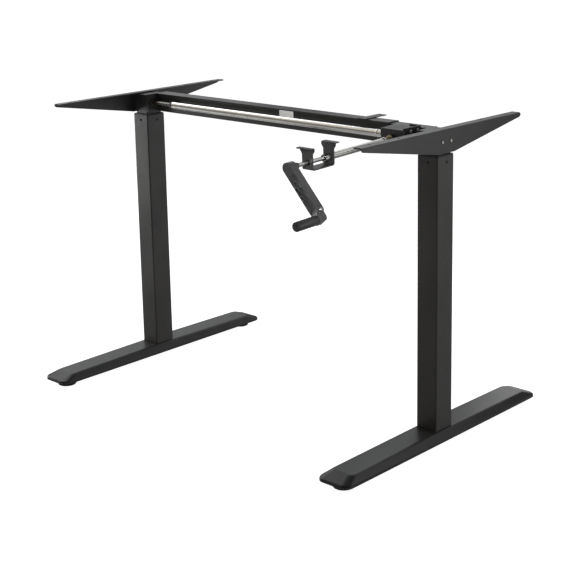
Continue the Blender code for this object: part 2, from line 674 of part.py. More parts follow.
# ---------------------------------------------------------------- drive shaft
def drive_shaft():
    """A hexagonal rod from the left leg slides in a tube, which the gearbox turns."""
    left_end = -LEG_PITCH / 2 + GEAR_PITCH_RADIUS
    rod_start = left_end + GEAR_HUB + GAP
    shank = [
        (0, left_end - GEAR_FACE + GAP), (SHAFT_RADIUS, left_end - GEAR_FACE + GAP), (SHAFT_RADIUS, rod_start + 0.001),
        (0, rod_start + 0.001),
    ]
    made = finish("drive_rod", turn_mesh(hexagon(DRIVE_ROD_FLATS, rod_start, DRIVE_ROD_END), ALONG_X), steel())
    made.location = (0, DRIVE_Y, DRIVE_Z)
    journal = finish("drive_rod_journal", turn_mesh(turned(shank, 18), ALONG_X), None)
    journal.location = made.location
    boolean(made, journal, "UNION")

    tube_end = CRANK_X - CASE_LEFT - CASE_WALL - 0.0015
    bore = DRIVE_TUBE_RADIUS - DRIVE_TUBE_WALL
    tube = bush(DRIVE_TUBE_RADIUS, bore, DRIVE_TUBE_START, tube_end)
    made = finish("drive_tube", turn_mesh(tube, ALONG_X), chrome())
    made.location = (0, DRIVE_Y, DRIVE_Z)

    sleeve = DRIVE_ROD_FLATS / math.sqrt(3) + SHAFT_FIT
    start = DRIVE_TUBE_START
    profile = [
        (sleeve, start - 0.0075), (DRIVE_TUBE_RADIUS - 0.001, start - 0.0075), (DRIVE_TUBE_RADIUS, start - 0.0060),
        (DRIVE_TUBE_RADIUS, start - GAP), (bore - GAP, start - GAP), (bore - GAP, start + 0.020),
        (sleeve, start + 0.020),
    ]
    made = finish("tube_bush", turn_mesh(turned(profile), ALONG_X), black_plastic())
    made.location = (0, DRIVE_Y, DRIVE_Z)

    right_end = LEG_PITCH / 2 - GEAR_PITCH_RADIUS + GEAR_FACE - GAP
    plug_start = DRIVE_ROD_END + 0.020
    plug = [
        (0, plug_start), (bore - GAP, plug_start), (bore - GAP, tube_end), (SHAFT_RADIUS, tube_end),
        (SHAFT_RADIUS, right_end), (0, right_end),
    ]
    made = finish("stub_shaft", turn_mesh(turned(plug), ALONG_X), steel())
    made.location = (0, DRIVE_Y, DRIVE_Z)


# ---------------------------------------------------------------- crank gearbox
def crank_frame():
    """The axes of the crank: -Y runs forward along its shaft, from the drive shaft."""
    made = bpy.data.objects.new("crank_frame", None)
    bpy.context.scene.collection.objects.link(made)
    made.location = (CRANK_X, DRIVE_Y, DRIVE_Z)
    made.rotation_euler.x = CRANK_TILT
    return made


def gearbox(frame):
    low = (-CASE_LEFT, -CASE_FRONT, -CASE_DOWN)
    high = (CASE_RIGHT, CASE_REAR, CASE_UP)
    case = finish("gearbox_case", box(low, high), black_plastic(), frame)
    inner_low = (low[0] - 0.002, low[1] + CASE_WALL, low[2] + CASE_WALL)
    inner_high = (high[0] - CASE_WALL, high[1] - CASE_BACK, high[2] - CASE_ROOF)
    boolean(case, finish("gearbox_hollow", box(inner_low, inner_high), None, frame), "DIFFERENCE")
    side = Matrix.Translation((CASE_RIGHT, 0, 0)) @ ALONG_X
    drill("gearbox_side_hole", case, SHAFT_RADIUS + SHAFT_FIT, side, 0.02)
    front = Matrix.Translation((0, -CASE_FRONT, 0)) @ ALONG_FRONT
    drill("gearbox_front_hole", case, BUSH_RADIUS + SHAFT_FIT, front, 0.02)
    for y in CASE_SCREWS:
        at = Matrix.Translation((CASE_RIGHT, y, CASE_UP - CASE_ROOF / 2)) @ ALONG_X
        drill(f"gearbox_screw_hole_{y}", case, CASE_SCREW_HOLE, at, 0.022)

    lid = box((low[0] - CASE_WALL, low[1], low[2]), (low[0] - GAP, high[1], high[2]))
    cover = finish("gearbox_cover", lid, black_plastic(), frame)
    drill("gearbox_cover_hole", cover, SHAFT_RADIUS + SHAFT_FIT, Matrix.Translation((low[0], 0, 0)) @ ALONG_X, 0.02)

    half_pitch = math.pi / GEAR_TEETH
    beside = Matrix.Translation((GEAR_PITCH_RADIUS, 0, 0)) @ Matrix.Rotation(-math.pi / 2, 4, "Y")
    mitre_gear("gearbox_gear", beside, half_pitch, frame)
    crank_pinion(frame)

    profile = [
        (SHAFT_RADIUS + SHAFT_FIT, -CASE_WALL), (BUSH_RADIUS, -CASE_WALL), (BUSH_RADIUS, GAP), (BUSH_FLANGE, GAP),
        (BUSH_FLANGE, 0.0035), (SHAFT_RADIUS + SHAFT_FIT, 0.0035),
    ]
    made = finish("gearbox_bush", turn_mesh(turned(profile, 20), ALONG_FRONT), brass(), frame)
    made.location.y = -CASE_FRONT


def crank_pinion(frame):
    """The driving mitre gear, in one piece with the short shaft that carries the crank tube."""
    mesh_data = bevel_gear(GEAR_HUB, SHAFT_RADIUS * 0.6)
    made = finish("gearbox_pinion", turn_mesh(mesh_data, ALONG_BACK), steel(), frame)
    made.location.y = -GEAR_PITCH_RADIUS
    bore = CRANK_TUBE_RADIUS - CRANK_TUBE_WALL - GAP
    start = GEAR_PITCH_RADIUS - GEAR_FACE + 0.001
    profile = [
        (0, start), (SHAFT_RADIUS, start), (SHAFT_RADIUS, CRANK_TUBE_START + 0.004),
        (bore, CRANK_TUBE_START + 0.004), (bore, PINION_SHAFT_END), (0, PINION_SHAFT_END),
    ]
    shaft = finish("gearbox_pinion_shaft", turn_mesh(turned(profile, 20), ALONG_FRONT), None)
    boolean(made, shaft, "UNION")


def gearbox_mount():
    """An angle plate that ties the gearbox to the beam's front, with two screws."""
    face = CRANK_X + CASE_RIGHT + 0.0005
    sheet = 0.0030
    thinner = BEAM_WALL + BEAM_SLIDE
    back = BEAM_FRONT + thinner - GAP
    front = DRIVE_Y - CASE_FRONT - 0.004
    outline = [
        (face, front), (face + sheet, front), (face + sheet, back), (face - 0.026, back), (face - 0.026, back - 0.0019),
        (face, back - 0.0019),
    ]
    made = finish("gearbox_bracket", extruded(outline, HOUSING_BOTTOM, FRAME_HIGH - GAP), powder_coat())
    shaft = Matrix.Translation((face, DRIVE_Y, DRIVE_Z)) @ ALONG_X
    drill("gearbox_bracket_hole", made, SHAFT_RADIUS + 0.002, shaft, 0.02)
    turn = Matrix.Rotation(CRANK_TILT, 4, "X")
    for label, y in zip(("front", "rear"), CASE_SCREWS):
        spot = turn @ Vector((0, y, CASE_UP - CASE_ROOF / 2))
        at = Vector((face + sheet, DRIVE_Y + spot.y, DRIVE_Z + spot.z))
        drill(f"gearbox_bracket_hole_{label}", made, CASE_SCREW_HOLE, Matrix.Translation(at) @ ALONG_X, 0.012)
        profile = [(0, 0.0020), (0.0022, 0.0020), (0.0032, GAP), (0.0016, GAP), (0.0016, -0.0110), (0, -0.0110)]
        screw = finish(f"gearbox_screw_{label}", turn_mesh(turned(profile, 14), ALONG_X), chrome())
        screw.location = at


# ---------------------------------------------------------------- crank
def crank_shaft(frame):
    bore = CRANK_TUBE_RADIUS - CRANK_TUBE_WALL
    finish("crank_tube", turn_mesh(bush(CRANK_TUBE_RADIUS, bore, CRANK_TUBE_START, CRANK_TUBE_END), ALONG_FRONT),
           chrome(), frame)
    rod_end = ARM_REAR + SOCKET_DEEP - 0.0005
    finish("crank_rod", turn_mesh(hexagon(CRANK_ROD_FLATS, CRANK_ROD_START, rod_end), ALONG_FRONT), chrome(), frame)
    start = EAR_REAR + EAR_SHEET + 0.0024
    collar_bore = CRANK_ROD_FLATS / math.sqrt(3) + SHAFT_FIT
    edge = 0.0008
    profile = [
        (collar_bore, start), (COLLAR_RADIUS - edge, start), (COLLAR_RADIUS, start + edge),
        (COLLAR_RADIUS, start + COLLAR_LONG - edge), (COLLAR_RADIUS - edge, start + COLLAR_LONG),
        (collar_bore, start + COLLAR_LONG),
    ]
    finish("crank_collar", turn_mesh(turned(profile), ALONG_FRONT), chrome(), frame)


def crank_support(frame):
    """A bent strip with two ears that carry the rod, and tabs that screw under a tabletop."""
    shoulder, neck = EAR_UP - 0.009, EAR_UP - 0.016
    bend = 0.0028
    half_wide, half_top = EAR_WIDE / 2, EAR_TOP_WIDE / 2
    rear, front = EAR_REAR + EAR_SHEET, EAR_FRONT
    quarter = [math.pi / 2 * i / 3 for i in range(4)]
    low, high = -EAR_DOWN + EAR_SHEET, EAR_UP - EAR_SHEET
    path = [(rear - EAR_SHEET - TAB_LONG, high, half_top), (rear - bend, high, half_top)]
    path += [(rear - bend + bend * math.sin(a), high - bend + bend * math.cos(a), half_top) for a in quarter[1:]]
    path += [(rear, shoulder, half_top), (rear, neck, half_wide), (rear, low + bend, half_wide)]
    path += [(rear + bend - bend * math.cos(a), low + bend - bend * math.sin(a), half_wide) for a in quarter[1:]]
    path += [(rear + front - s, h, w) for s, h, w in reversed(path)]
    mesh_data = bmesh.new()
    rows = [[mesh_data.verts.new((side * w, -s, h)) for side in (-1, 1)] for s, h, w in path]
    for (a, b), (c, d) in zip(rows, rows[1:]):
        mesh_data.faces.new((a, b, d, c))
    bmesh.ops.remove_doubles(mesh_data, verts=mesh_data.verts, dist=1e-6)
    mesh_data.normal_update()
    floor = min(mesh_data.faces, key=lambda f: f.calc_center_median().z)
    if floor.normal.z > 0:
        bmesh.ops.reverse_faces(mesh_data, faces=mesh_data.faces)
    mesh = bpy.data.meshes.new("crank_support")
    mesh_data.to_mesh(mesh)
    mesh_data.free()
    mesh.materials.append(powder_coat())
    made = bpy.data.objects.new("crank_support", mesh)
    bpy.context.scene.collection.objects.link(made)
    made.parent = frame
    sheet = made.modifiers.new("sheet", "SOLIDIFY")
    sheet.thickness = EAR_SHEET
    sheet.offset = 1.0
    sheet.use_even_offset = True
    for label, place in (("rear", EAR_REAR), ("front", EAR_FRONT)):
        ear = Matrix.Translation((0, -place, 0)) @ ALONG_FRONT
        drill(f"crank_support_{label}_hole", made, BUSH_RADIUS + SHAFT_FIT, ear, 0.02)
    flange = 0.0016
    hole = CRANK_ROD_FLATS / math.sqrt(3) + SHAFT_FIT
    for label, inside in (("rear", EAR_REAR + EAR_SHEET), ("front", EAR_FRONT)):
        away = 1 if label == "rear" else -1
        profile = [
            (hole, -EAR_SHEET - 0.0006), (BUSH_RADIUS, -EAR_SHEET - 0.0006), (BUSH_RADIUS, GAP), (BUSH_FLANGE, GAP),
            (BUSH_FLANGE, flange), (hole, flange),
        ]
        turn = ALONG_FRONT if away > 0 else ALONG_BACK
        piece = finish(f"{label}_bush", turn_mesh(turned(profile, 20), turn), black_plastic(), frame)
        piece.location.y = -inside


def arm_matrix():
    """Takes arm axes (x along the arm, y across it, z forward) to the crank's frame."""
    along = Vector((math.sin(ARM_ANGLE), 0, -math.cos(ARM_ANGLE)))
    forward = Vector((0, -1, 0))
    across = forward.cross(along)
    turn = Matrix((along, across, forward)).transposed().to_4x4()
    return Matrix.Translation((0, -ARM_REAR, 0)) @ turn


def arm_outline(wide, top, bottom, taper):
    """A strip with a round top end and a round bottom end, a little wider at the bottom."""
    half, low = wide / 2, wide / 2 + taper
    points = [(top + half * (1 - math.sin(a)), half * math.cos(a)) for a in [math.pi * i / 10 for i in range(11)]]
    points += [(bottom - low + low * math.sin(a), -low * math.cos(a)) for a in [math.pi * i / 10 for i in range(11)]]
    return points


def crank_arm(frame):
    """A channel that is open at the front and at the lower end. The grip folds into it."""
    place = arm_matrix()
    end = ARM_PIVOT + KNUCKLE_RADIUS
    outline = arm_outline(ARM_WIDE, -ARM_WIDE / 2, end, 0.0004)
    made = finish("crank_arm", turn_mesh(extruded(outline, 0, ARM_DEEP), place), black_plastic(), frame)
    half = ARM_WIDE / 2 - ARM_WALL
    rings = []
    for depth, start in ((ARM_WALL, SCOOP_END), (ARM_DEEP * 0.55, SCOOP_MIDDLE), (ARM_DEEP + 0.002, SCOOP_START)):
        ring = [(start + 0.005 - 0.005 * math.sin(a), half * math.cos(a)) for a in SCOOP_ANGLES]
        ring += [(end + 0.002, -half), (end + 0.002, half)]
        rings.append([(u, v, depth) for u, v in ring])
    boolean(made, finish("crank_arm_hollow", turn_mesh(loft(rings), place), None), "DIFFERENCE")
    narrow = half - 0.0003
    slot = box((ARM_PIVOT - KNUCKLE_RADIUS - 0.0015, -narrow, -0.002), (end + 0.003, narrow, ARM_WALL + 0.001))
    boolean(made, finish("crank_arm_slot", turn_mesh(slot, place), None), "DIFFERENCE")
    boss = finish("crank_arm_boss", turn_mesh(rod(BOSS_WIDE, -BOSS_LONG, 0.001, 20), ALONG_FRONT), None, frame)
    boss.location.y = -ARM_REAR
    boolean(made, boss, "UNION")
    bore = CRANK_ROD_FLATS / math.sqrt(3) + SHAFT_FIT
    socket = finish("crank_arm_socket", turn_mesh(rod(bore, -0.020, SOCKET_DEEP, 20), ALONG_FRONT), None, frame)
    socket.location.y = -ARM_REAR
    boolean(made, socket, "DIFFERENCE")
    across = Matrix.Translation((ARM_PIVOT, 0, PIVOT_INSET)) @ ALONG_BACK
    hole = turn_mesh(rod(PIN_RADIUS + SHAFT_FIT, -0.03, 0.03, 16), place @ across)
    boolean(made, finish("crank_arm_pin_hole", hole, None), "DIFFERENCE")

    reach = ARM_WIDE / 2 + 0.0004
    head, dome = 0.0040, 0.0012
    profile = [
        (0, -reach - GAP - dome), (head * 0.7, -reach - GAP - dome), (head, -reach - GAP), (PIN_RADIUS, -reach - GAP),
        (PIN_RADIUS, reach + GAP), (head, reach + GAP), (head * 0.7, reach + GAP + dome), (0, reach + GAP + dome),
    ]
    finish("grip_pin", turn_mesh(turned(profile, 16), place @ across), chrome(), frame)
    folding_grip(frame, place, across, half)


def folding_grip(frame, place, across, half):
    """The knuckle turns on the pin. The sleeve turns on the knuckle's spindle."""
    wide = half - 0.0006
    barrel = turn_mesh(rod(KNUCKLE_RADIUS, -wide, wide, 22), place @ across)
    knuckle = finish("grip_knuckle", barrel, black_plastic(), frame)
    low = ARM_PIVOT
    high = ARM_PIVOT + GRIP_OFFSET
    base, shoulder = PIVOT_INSET - KNUCKLE_RADIUS, GRIP_START - 0.0006
    elbow = [(low, base + 0.0002), (high, base + 0.0002), (high + 0.006, base + 0.003),
             (high + KNUCKLE_RADIUS, base + 0.009), (high + KNUCKLE_RADIUS, shoulder), (high - 0.0060, shoulder),
             (low, PIVOT_INSET + KNUCKLE_RADIUS - 0.0003)]
    mesh_data = loft([[(u, side * (wide - 0.0004), d) for u, d in elbow] for side in (-1, 1)])
    boolean(knuckle, finish("grip_elbow", turn_mesh(mesh_data, place), None), "UNION")
    axis = Matrix.Translation((high, 0, 0))
    spindle_end = GRIP_START + GRIP_LONG - 0.006
    spindle = turn_mesh(rod(SPINDLE_RADIUS, GRIP_START - 0.004, spindle_end, 18), place @ axis)
    boolean(knuckle, finish("grip_spindle", spindle, None), "UNION")
    hole = turn_mesh(rod(PIN_RADIUS + SHAFT_FIT, -0.03, 0.03, 16), place @ across)
    boolean(knuckle, finish("grip_knuckle_hole", hole, None), "DIFFERENCE")
    bore, edge = SPINDLE_RADIUS + 0.0004, 0.0012
    top = GRIP_START + GRIP_LONG
    dimple, inset = 0.0040, 0.0012
    profile = [
        (0, spindle_end + 0.0010), (bore, spindle_end + 0.0010), (bore, GRIP_START), (GRIP_RADIUS - edge, GRIP_START),
        (GRIP_RADIUS, GRIP_START + edge), (GRIP_RADIUS, top - edge), (GRIP_RADIUS - edge, top), (dimple, top),
        (dimple - inset / 2, top - inset), (0, top - inset),
    ]
    finish("grip_sleeve", turn_mesh(turned_open(profile), place @ axis), black_plastic(), frame)


def turned_open(profile, steps=ROUND_STEPS):
    """A turned solid whose profile starts and ends on the axis."""
    mesh_data = bmesh.new()
    points = [mesh_data.verts.new((radius, 0.0, height)) for radius, height in profile]
    edges = [mesh_data.edges.new(pair) for pair in zip(points, points[1:])]
    bmesh.ops.spin(
        mesh_data, geom=points + edges, cent=(0, 0, 0), axis=(0, 0, 1), angle=2 * math.pi, steps=steps,
        use_merge=True,
    )
    bmesh.ops.remove_doubles(mesh_data, verts=mesh_data.verts, dist=1e-6)
    return mesh_data


def main():
    clear_scene()
    leg(-1, "left")
    leg(1, "right")
    crossbeam()
    drive_shaft()
    frame = crank_frame()
    gearbox(frame)
    gearbox_mount()
    crank_shaft(frame)
    crank_support(frame)
    crank_arm(frame)


main()
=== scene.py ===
"""Finishes, refined pieces and stage for a height-adjustable desk frame with a hand crank."""

import json
import math

import bpy
from mathutils import Matrix, Vector


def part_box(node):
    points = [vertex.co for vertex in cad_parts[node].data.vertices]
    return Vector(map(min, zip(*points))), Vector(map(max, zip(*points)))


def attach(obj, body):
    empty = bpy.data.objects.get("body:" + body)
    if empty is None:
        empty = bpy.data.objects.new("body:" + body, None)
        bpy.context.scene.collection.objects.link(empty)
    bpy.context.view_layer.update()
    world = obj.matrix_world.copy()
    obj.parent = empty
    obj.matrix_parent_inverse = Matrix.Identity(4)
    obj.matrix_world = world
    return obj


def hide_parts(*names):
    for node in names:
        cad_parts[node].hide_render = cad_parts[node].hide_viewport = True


bl_info = {
    "name": "Crank desk frame looks",
    "version": (1, 0, 0),
    "blender": (4, 5, 0),
    "location": "View3D > Sidebar > Desk frame",
    "description": "Builds the visible pieces, finishes and stage of a height-adjustable desk frame",
    "category": "Object",
}

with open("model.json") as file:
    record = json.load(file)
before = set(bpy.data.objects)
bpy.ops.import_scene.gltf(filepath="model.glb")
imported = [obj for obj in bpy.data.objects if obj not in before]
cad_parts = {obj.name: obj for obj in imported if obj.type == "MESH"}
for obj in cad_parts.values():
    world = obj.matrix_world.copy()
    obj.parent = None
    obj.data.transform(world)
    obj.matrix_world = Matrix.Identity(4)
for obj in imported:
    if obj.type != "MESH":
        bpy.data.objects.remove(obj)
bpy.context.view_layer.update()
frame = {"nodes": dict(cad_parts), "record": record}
NODES = frame["nodes"]
BODY_OF = {node: body for body, nodes in frame["record"]["behaviour"]["bodies"].items() for node in nodes}
SLOT_OF = {part["node"]: part["material_slot"] for part in frame["record"]["subparts"]}
SIDES = ("left", "right")
OUTWARD = {"left": -1, "right": 1}
SMOOTH_ANGLE = math.radians(38)


# ---------------------------------------------------------------- sizes and colours
class FinishColours(bpy.types.PropertyGroup):
    coat: bpy.props.FloatVectorProperty(
        name="Powder coat", description="Colour of the coated steel", subtype="COLOR", size=3,
        default=(0.0450, 0.0462, 0.0448), min=0, max=1)
    column_coat: bpy.props.FloatVectorProperty(
        name="Column coat", description="Colour of the coat on the columns", subtype="COLOR", size=3,
        default=(0.0465, 0.0442, 0.0425), min=0, max=1)
    # Lighter colour for the edges: a painted edge highlight that also stands for rubbed coat.
    coat_light: bpy.props.FloatVectorProperty(
        name="Powder coat, worn", description="Colour of the coat where its edges catch the light",
        subtype="COLOR",
        size=3, default=(0.105, 0.110, 0.110), min=0, max=1)
    plastic: bpy.props.FloatVectorProperty(
        name="Moulded plastic", description="Colour of the black plastic pieces", subtype="COLOR", size=3,
        default=(0.016, 0.016, 0.016), min=0, max=1)
    crank: bpy.props.FloatVectorProperty(
        name="Crank arm", description="Colour of the crank arm and knuckle", subtype="COLOR", size=3,
        default=(0.046, 0.047, 0.046), min=0, max=1)
    chrome: bpy.props.FloatVectorProperty(
        name="Polished tube", description="Colour of the bright tubes", subtype="COLOR", size=3,
        default=(0.80, 0.79, 0.76), min=0, max=1)
    # This colour also drives the label's painted glow.
    label: bpy.props.FloatVectorProperty(
        name="Label", description="Colour of the blank label", subtype="COLOR", size=3,
        default=(0.90, 0.90, 0.88), min=0, max=1)


class PieceSizes(bpy.types.PropertyGroup):
    sheet_edge: bpy.props.FloatProperty(
        name="Sheet edge", description="Rounding of cut sheet edges", default=0.0006, min=0.0001, unit="LENGTH")
    tube_edge: bpy.props.FloatProperty(
        name="Tube edge", description="Rounding of sawn tube ends", default=0.0004, min=0.0001, unit="LENGTH")
    moulded_edge: bpy.props.FloatProperty(
        name="Moulded edge", description="Rounding of moulded corners",
        default=0.0014, min=0.0001, unit="LENGTH")
    foot_corner: bpy.props.FloatProperty(
        name="Foot corner", description="Plan radius of the foot's corners",
        default=0.018, min=0.002, unit="LENGTH")
    foot_shoulder: bpy.props.FloatProperty(
        name="Foot shoulder", description="Rounding between the foot's ramp and its top",
        default=0.0045, min=0.0005,
        unit="LENGTH")
    label_long: bpy.props.FloatProperty(
        name="Label length", description="Length of the blank label", default=0.044, min=0.005, unit="LENGTH")
    label_high: bpy.props.FloatProperty(
        name="Label height", description="Height of the blank label", default=0.014, min=0.005, unit="LENGTH")


class StageSizes(bpy.types.PropertyGroup):
    floor: bpy.props.FloatProperty(
        name="Floor", description="Width of the studio floor", default=60.0, min=5.0, unit="LENGTH")
    light_level: bpy.props.FloatProperty(
        name="Light level", description="Scales every light", default=1.0, min=0.0)
    floor_glow: bpy.props.FloatProperty(
        name="Floor glow", description="Light that the white floor sends up to the desk", default=0.13, min=0.0)
    low_glow: bpy.props.FloatProperty(
        name="Low glow", description="Light from the room behind the left leg, near the floor",
        default=0.20, min=0.0)
    high_glow: bpy.props.FloatProperty(
        name="High glow", description="Light from the room above the left leg", default=0.50, min=0.0)
    floor_white: bpy.props.FloatProperty(
        name="Floor white", description="How bright the floor looks", default=0.965, min=0.0)


# ---------------------------------------------------------------- modelling helpers
def deselect():
    bpy.ops.object.select_all(action="DESELECT")


def take(piece):
    """Makes a piece the only selected one, and active."""
    deselect()
    piece.select_set(True)
    bpy.context.view_layer.objects.active = piece


def named(name):
    piece = bpy.context.active_object
    piece.name = name
    piece.data.name = name
    return piece


def modifier(piece, kind, **settings):
    """Adds a modifier with these settings and applies it."""
    take(piece)
    added = piece.modifiers.new(kind.lower(), kind)
    for key, value in settings.items():
        setattr(added, key, value)
    bpy.ops.object.modifier_apply(modifier=added.name)


def pick(piece, faces=None, edges=None, verts=None):
    """Goes to edit mode with the faces, edges or corners selected that a test accepts."""
    take(piece)
    bpy.ops.object.mode_set(mode="EDIT")
    mode = "FACE" if faces else "EDGE" if edges else "VERT"
    bpy.ops.mesh.select_mode(type=mode)
    bpy.ops.mesh.select_all(action="DESELECT")
    bpy.ops.object.mode_set(mode="OBJECT")
    mesh = piece.data
    if faces:
        for face in mesh.polygons:
            face.select = faces(face)
    elif edges:
        for edge in mesh.edges:
            edge.select = edges(*(mesh.vertices[i].co for i in edge.vertices))
    else:
        for vertex in mesh.vertices:
            vertex.select = verts(vertex.co)
    bpy.ops.object.mode_set(mode="EDIT")


def done():
    bpy.ops.object.mode_set(mode="OBJECT")


def tidy_faces(piece, merge=2e-5):
    """Merges doubles, turns faces outwards and shades the piece smooth up to its edges."""
    take(piece)
    bpy.ops.object.mode_set(mode="EDIT")
    bpy.ops.mesh.select_mode(type="VERT")
    bpy.ops.mesh.select_all(action="SELECT")
    bpy.ops.mesh.remove_doubles(threshold=merge)
    bpy.ops.mesh.normals_make_consistent(inside=False)
    done()
    bpy.ops.object.shade_smooth_by_angle(angle=SMOOTH_ANGLE)


def place(piece, matrix):
    """Puts a piece where the matrix says and bakes that into its mesh."""
    piece.matrix_world = matrix
    take(piece)
    bpy.ops.object.transform_apply(location=True, rotation=True, scale=True)


def copy_piece(piece, name, matrix):
    """A copy with its own mesh, moved by the matrix."""
    take(piece)
    bpy.ops.object.duplicate()
    made = named(name)
    place(made, matrix)
    return made


def settle(piece, look, node=None, body=None):
    """Gives a piece its finish and the body it rides on, and hides the CAD node it stands in for, if there is
    one.
    """
    piece.data.materials.clear()
    piece.data.materials.append(look)
    if node:
        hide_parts(node)
    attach(piece, body or BODY_OF[node])


def refined(node, look, width, segments=2, limit=40.0, flat=1.0):
    """A merged copy of a CAD node, with rounded edges that catch the light."""
    take(NODES[node])
    bpy.ops.object.duplicate()
    piece = named(f"{node}_finished")
    piece.parent = None
    for key in list(piece.keys()):
        del piece[key]
    take(piece)
    bpy.ops.object.mode_set(mode="EDIT")
    bpy.ops.mesh.select_mode(type="VERT")
    bpy.ops.mesh.select_all(action="SELECT")
    bpy.ops.mesh.customdata_custom_splitnormals_clear()
    bpy.ops.mesh.remove_doubles(threshold=1e-5)
    bpy.ops.mesh.dissolve_limited(angle_limit=math.radians(flat))
    bpy.ops.mesh.normals_make_consistent(inside=False)
    done()
    if width:
        modifier(piece, "BEVEL", width=width, segments=segments, limit_method="ANGLE",
                 angle_limit=math.radians(limit), use_clamp_overlap=True, miter_outer="MITER_ARC")
    take(piece)
    bpy.ops.object.shade_smooth_by_angle(angle=SMOOTH_ANGLE)
    modifier(piece, "WEIGHTED_NORMAL", keep_sharp=True, weight=60)
    settle(piece, look, node)
    return piece


def centre(node):
    low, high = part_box(node)
    return (Vector(low) + Vector(high)) / 2


# ---------------------------------------------------------------- shader groups
def group(name, inputs, outputs):
    """An empty shader group with float or vector sockets."""
    tree = bpy.data.node_groups.new(name, "ShaderNodeTree")
    for label, kind, value in inputs:
        socket = tree.interface.new_socket(name=label, in_out="INPUT", socket_type=kind)
        socket.default_value = value
    for label, kind in outputs:
        tree.interface.new_socket(name=label, in_out="OUTPUT", socket_type=kind)
    return tree, tree.nodes.new("NodeGroupInput"), tree.nodes.new("NodeGroupOutput")


def math_node(tree, operation, first, second=None, clamp=False):
    node = tree.nodes.new("ShaderNodeMath")
    node.operation = operation
    node.use_clamp = clamp
    for socket, value in zip(node.inputs, (first, second)):
        if value is None:
            continue
        if isinstance(value, (int, float)):
            socket.default_value = value
        else:
            tree.links.new(value, socket)
    return node.outputs[0]


def ramp(tree, value, low, high, to_low=0.0, to_high=1.0):
    node = tree.nodes.new("ShaderNodeMapRange")
    node.interpolation_type = "SMOOTHSTEP"
    tree.links.new(value, node.inputs["Value"])
    for key, number in (("From Min", low), ("From Max", high), ("To Min", to_low), ("To Max", to_high)):
        node.inputs[key].default_value = number
    return node.outputs["Result"]


def noise(tree, vector, scale, detail=2.0, roughness=0.5):
    node = tree.nodes.new("ShaderNodeTexNoise")
    tree.links.new(vector, node.inputs["Vector"])
    if isinstance(scale, (int, float)):
        node.inputs["Scale"].default_value = scale
    else:
        tree.links.new(scale, node.inputs["Scale"])
    node.inputs["Detail"].default_value = detail
    node.inputs["Roughness"].default_value = roughness
    return node.outputs["Fac"]


def fine_grain():
    """Orange peel of a sprayed or moulded surface. Height is for a bump, Mottle is a slow change of tone."""
    found = bpy.data.node_groups.get("fine_grain")
    if found:
        return found
    tree, into, out = group(
        "fine_grain",
        (("Grain", "NodeSocketFloat", 900.0), ("Cloud", "NodeSocketFloat", 9.0)),
        (("Height", "NodeSocketFloat"), ("Mottle", "NodeSocketFloat"), ("Speck", "NodeSocketFloat")))
    spot = tree.nodes.new("ShaderNodeTexCoord").outputs["Object"]
    peel = noise(tree, spot, into.outputs["Grain"], 3.0, 0.55)
    cloud = noise(tree, spot, into.outputs["Cloud"], 3.0, 0.6)
    cells = tree.nodes.new("ShaderNodeTexVoronoi")
    tree.links.new(spot, cells.inputs["Vector"])
    tree.links.new(math_node(tree, "MULTIPLY", into.outputs["Grain"], 1.7), cells.inputs["Scale"])
    speck = ramp(tree, cells.outputs["Distance"], 0.05, 0.35, 1.0, 0.0)
    tree.links.new(math_node(tree, "ADD", peel, math_node(tree, "MULTIPLY", speck, 0.35)), out.inputs["Height"])
    tree.links.new(ramp(tree, cloud, 0.32, 0.68), out.inputs["Mottle"])
    tree.links.new(speck, out.inputs["Speck"])
    return tree


def edge_wear_and_highlight():
    """A mask along outer edges, broken up by noise: partly rubbed coat, partly a painted highlight where the
    edges would catch the light.
    """
    found = bpy.data.node_groups.get("edge_wear_and_highlight")
    if found:
        return found
    tree, into, out = group(
        "edge_wear_and_highlight",
        (("Radius", "NodeSocketFloat", 0.0012), ("Amount", "NodeSocketFloat", 0.5)),
        (("Mask", "NodeSocketFloat"),))
    spot = tree.nodes.new("ShaderNodeTexCoord").outputs["Object"]
    bevel = tree.nodes.new("ShaderNodeBevel")
    bevel.samples = 4
    tree.links.new(into.outputs["Radius"], bevel.inputs["Radius"])
    normal = tree.nodes.new("ShaderNodeNewGeometry").outputs["Normal"]
    dot = tree.nodes.new("ShaderNodeVectorMath")
    dot.operation = "DOT_PRODUCT"
    tree.links.new(bevel.outputs["Normal"], dot.inputs[0])
    tree.links.new(normal, dot.inputs[1])
    # Painted highlight: outer edges are marked here to be coloured lighter, as if they caught the light; the
    # noise below makes it patchy like rubbed coat.
    edge = ramp(tree, dot.outputs["Value"], 0.90, 0.995, 1.0, 0.0)
    broken = ramp(tree, noise(tree, spot, 55.0, 4.0, 0.6), 0.40, 0.62)
    patchy = math_node(tree, "MULTIPLY", edge, broken)
    mask = math_node(tree, "MULTIPLY", patchy, into.outputs["Amount"], clamp=True)
    tree.links.new(mask, out.inputs["Mask"])
    return tree


def polish_lines():
    """Fine lines left by turning or drawing. Stretch says how long they are along X, Y and Z."""
    found = bpy.data.node_groups.get("polish_lines")
    if found:
        return found
    tree, into, out = group(
        "polish_lines",
        (("Stretch", "NodeSocketVector", (30.0, 900.0, 900.0)),),
        (("Height", "NodeSocketFloat"), ("Streak", "NodeSocketFloat")))
    spot = tree.nodes.new("ShaderNodeTexCoord").outputs["Object"]
    scaled = tree.nodes.new("ShaderNodeVectorMath")
    scaled.operation = "MULTIPLY"
    tree.links.new(spot, scaled.inputs[0])
    tree.links.new(into.outputs["Stretch"], scaled.inputs[1])
    lines = noise(tree, scaled.outputs["Vector"], 1.0, 2.0, 0.5)
    tree.links.new(lines, out.inputs["Height"])
    tree.links.new(ramp(tree, lines, 0.3, 0.7), out.inputs["Streak"])
    return tree


def add_group(tree, made, **values):
    node = tree.nodes.new("ShaderNodeGroup")
    node.node_tree = made
    for key, value in values.items():
        node.inputs[key].default_value = value
    return node


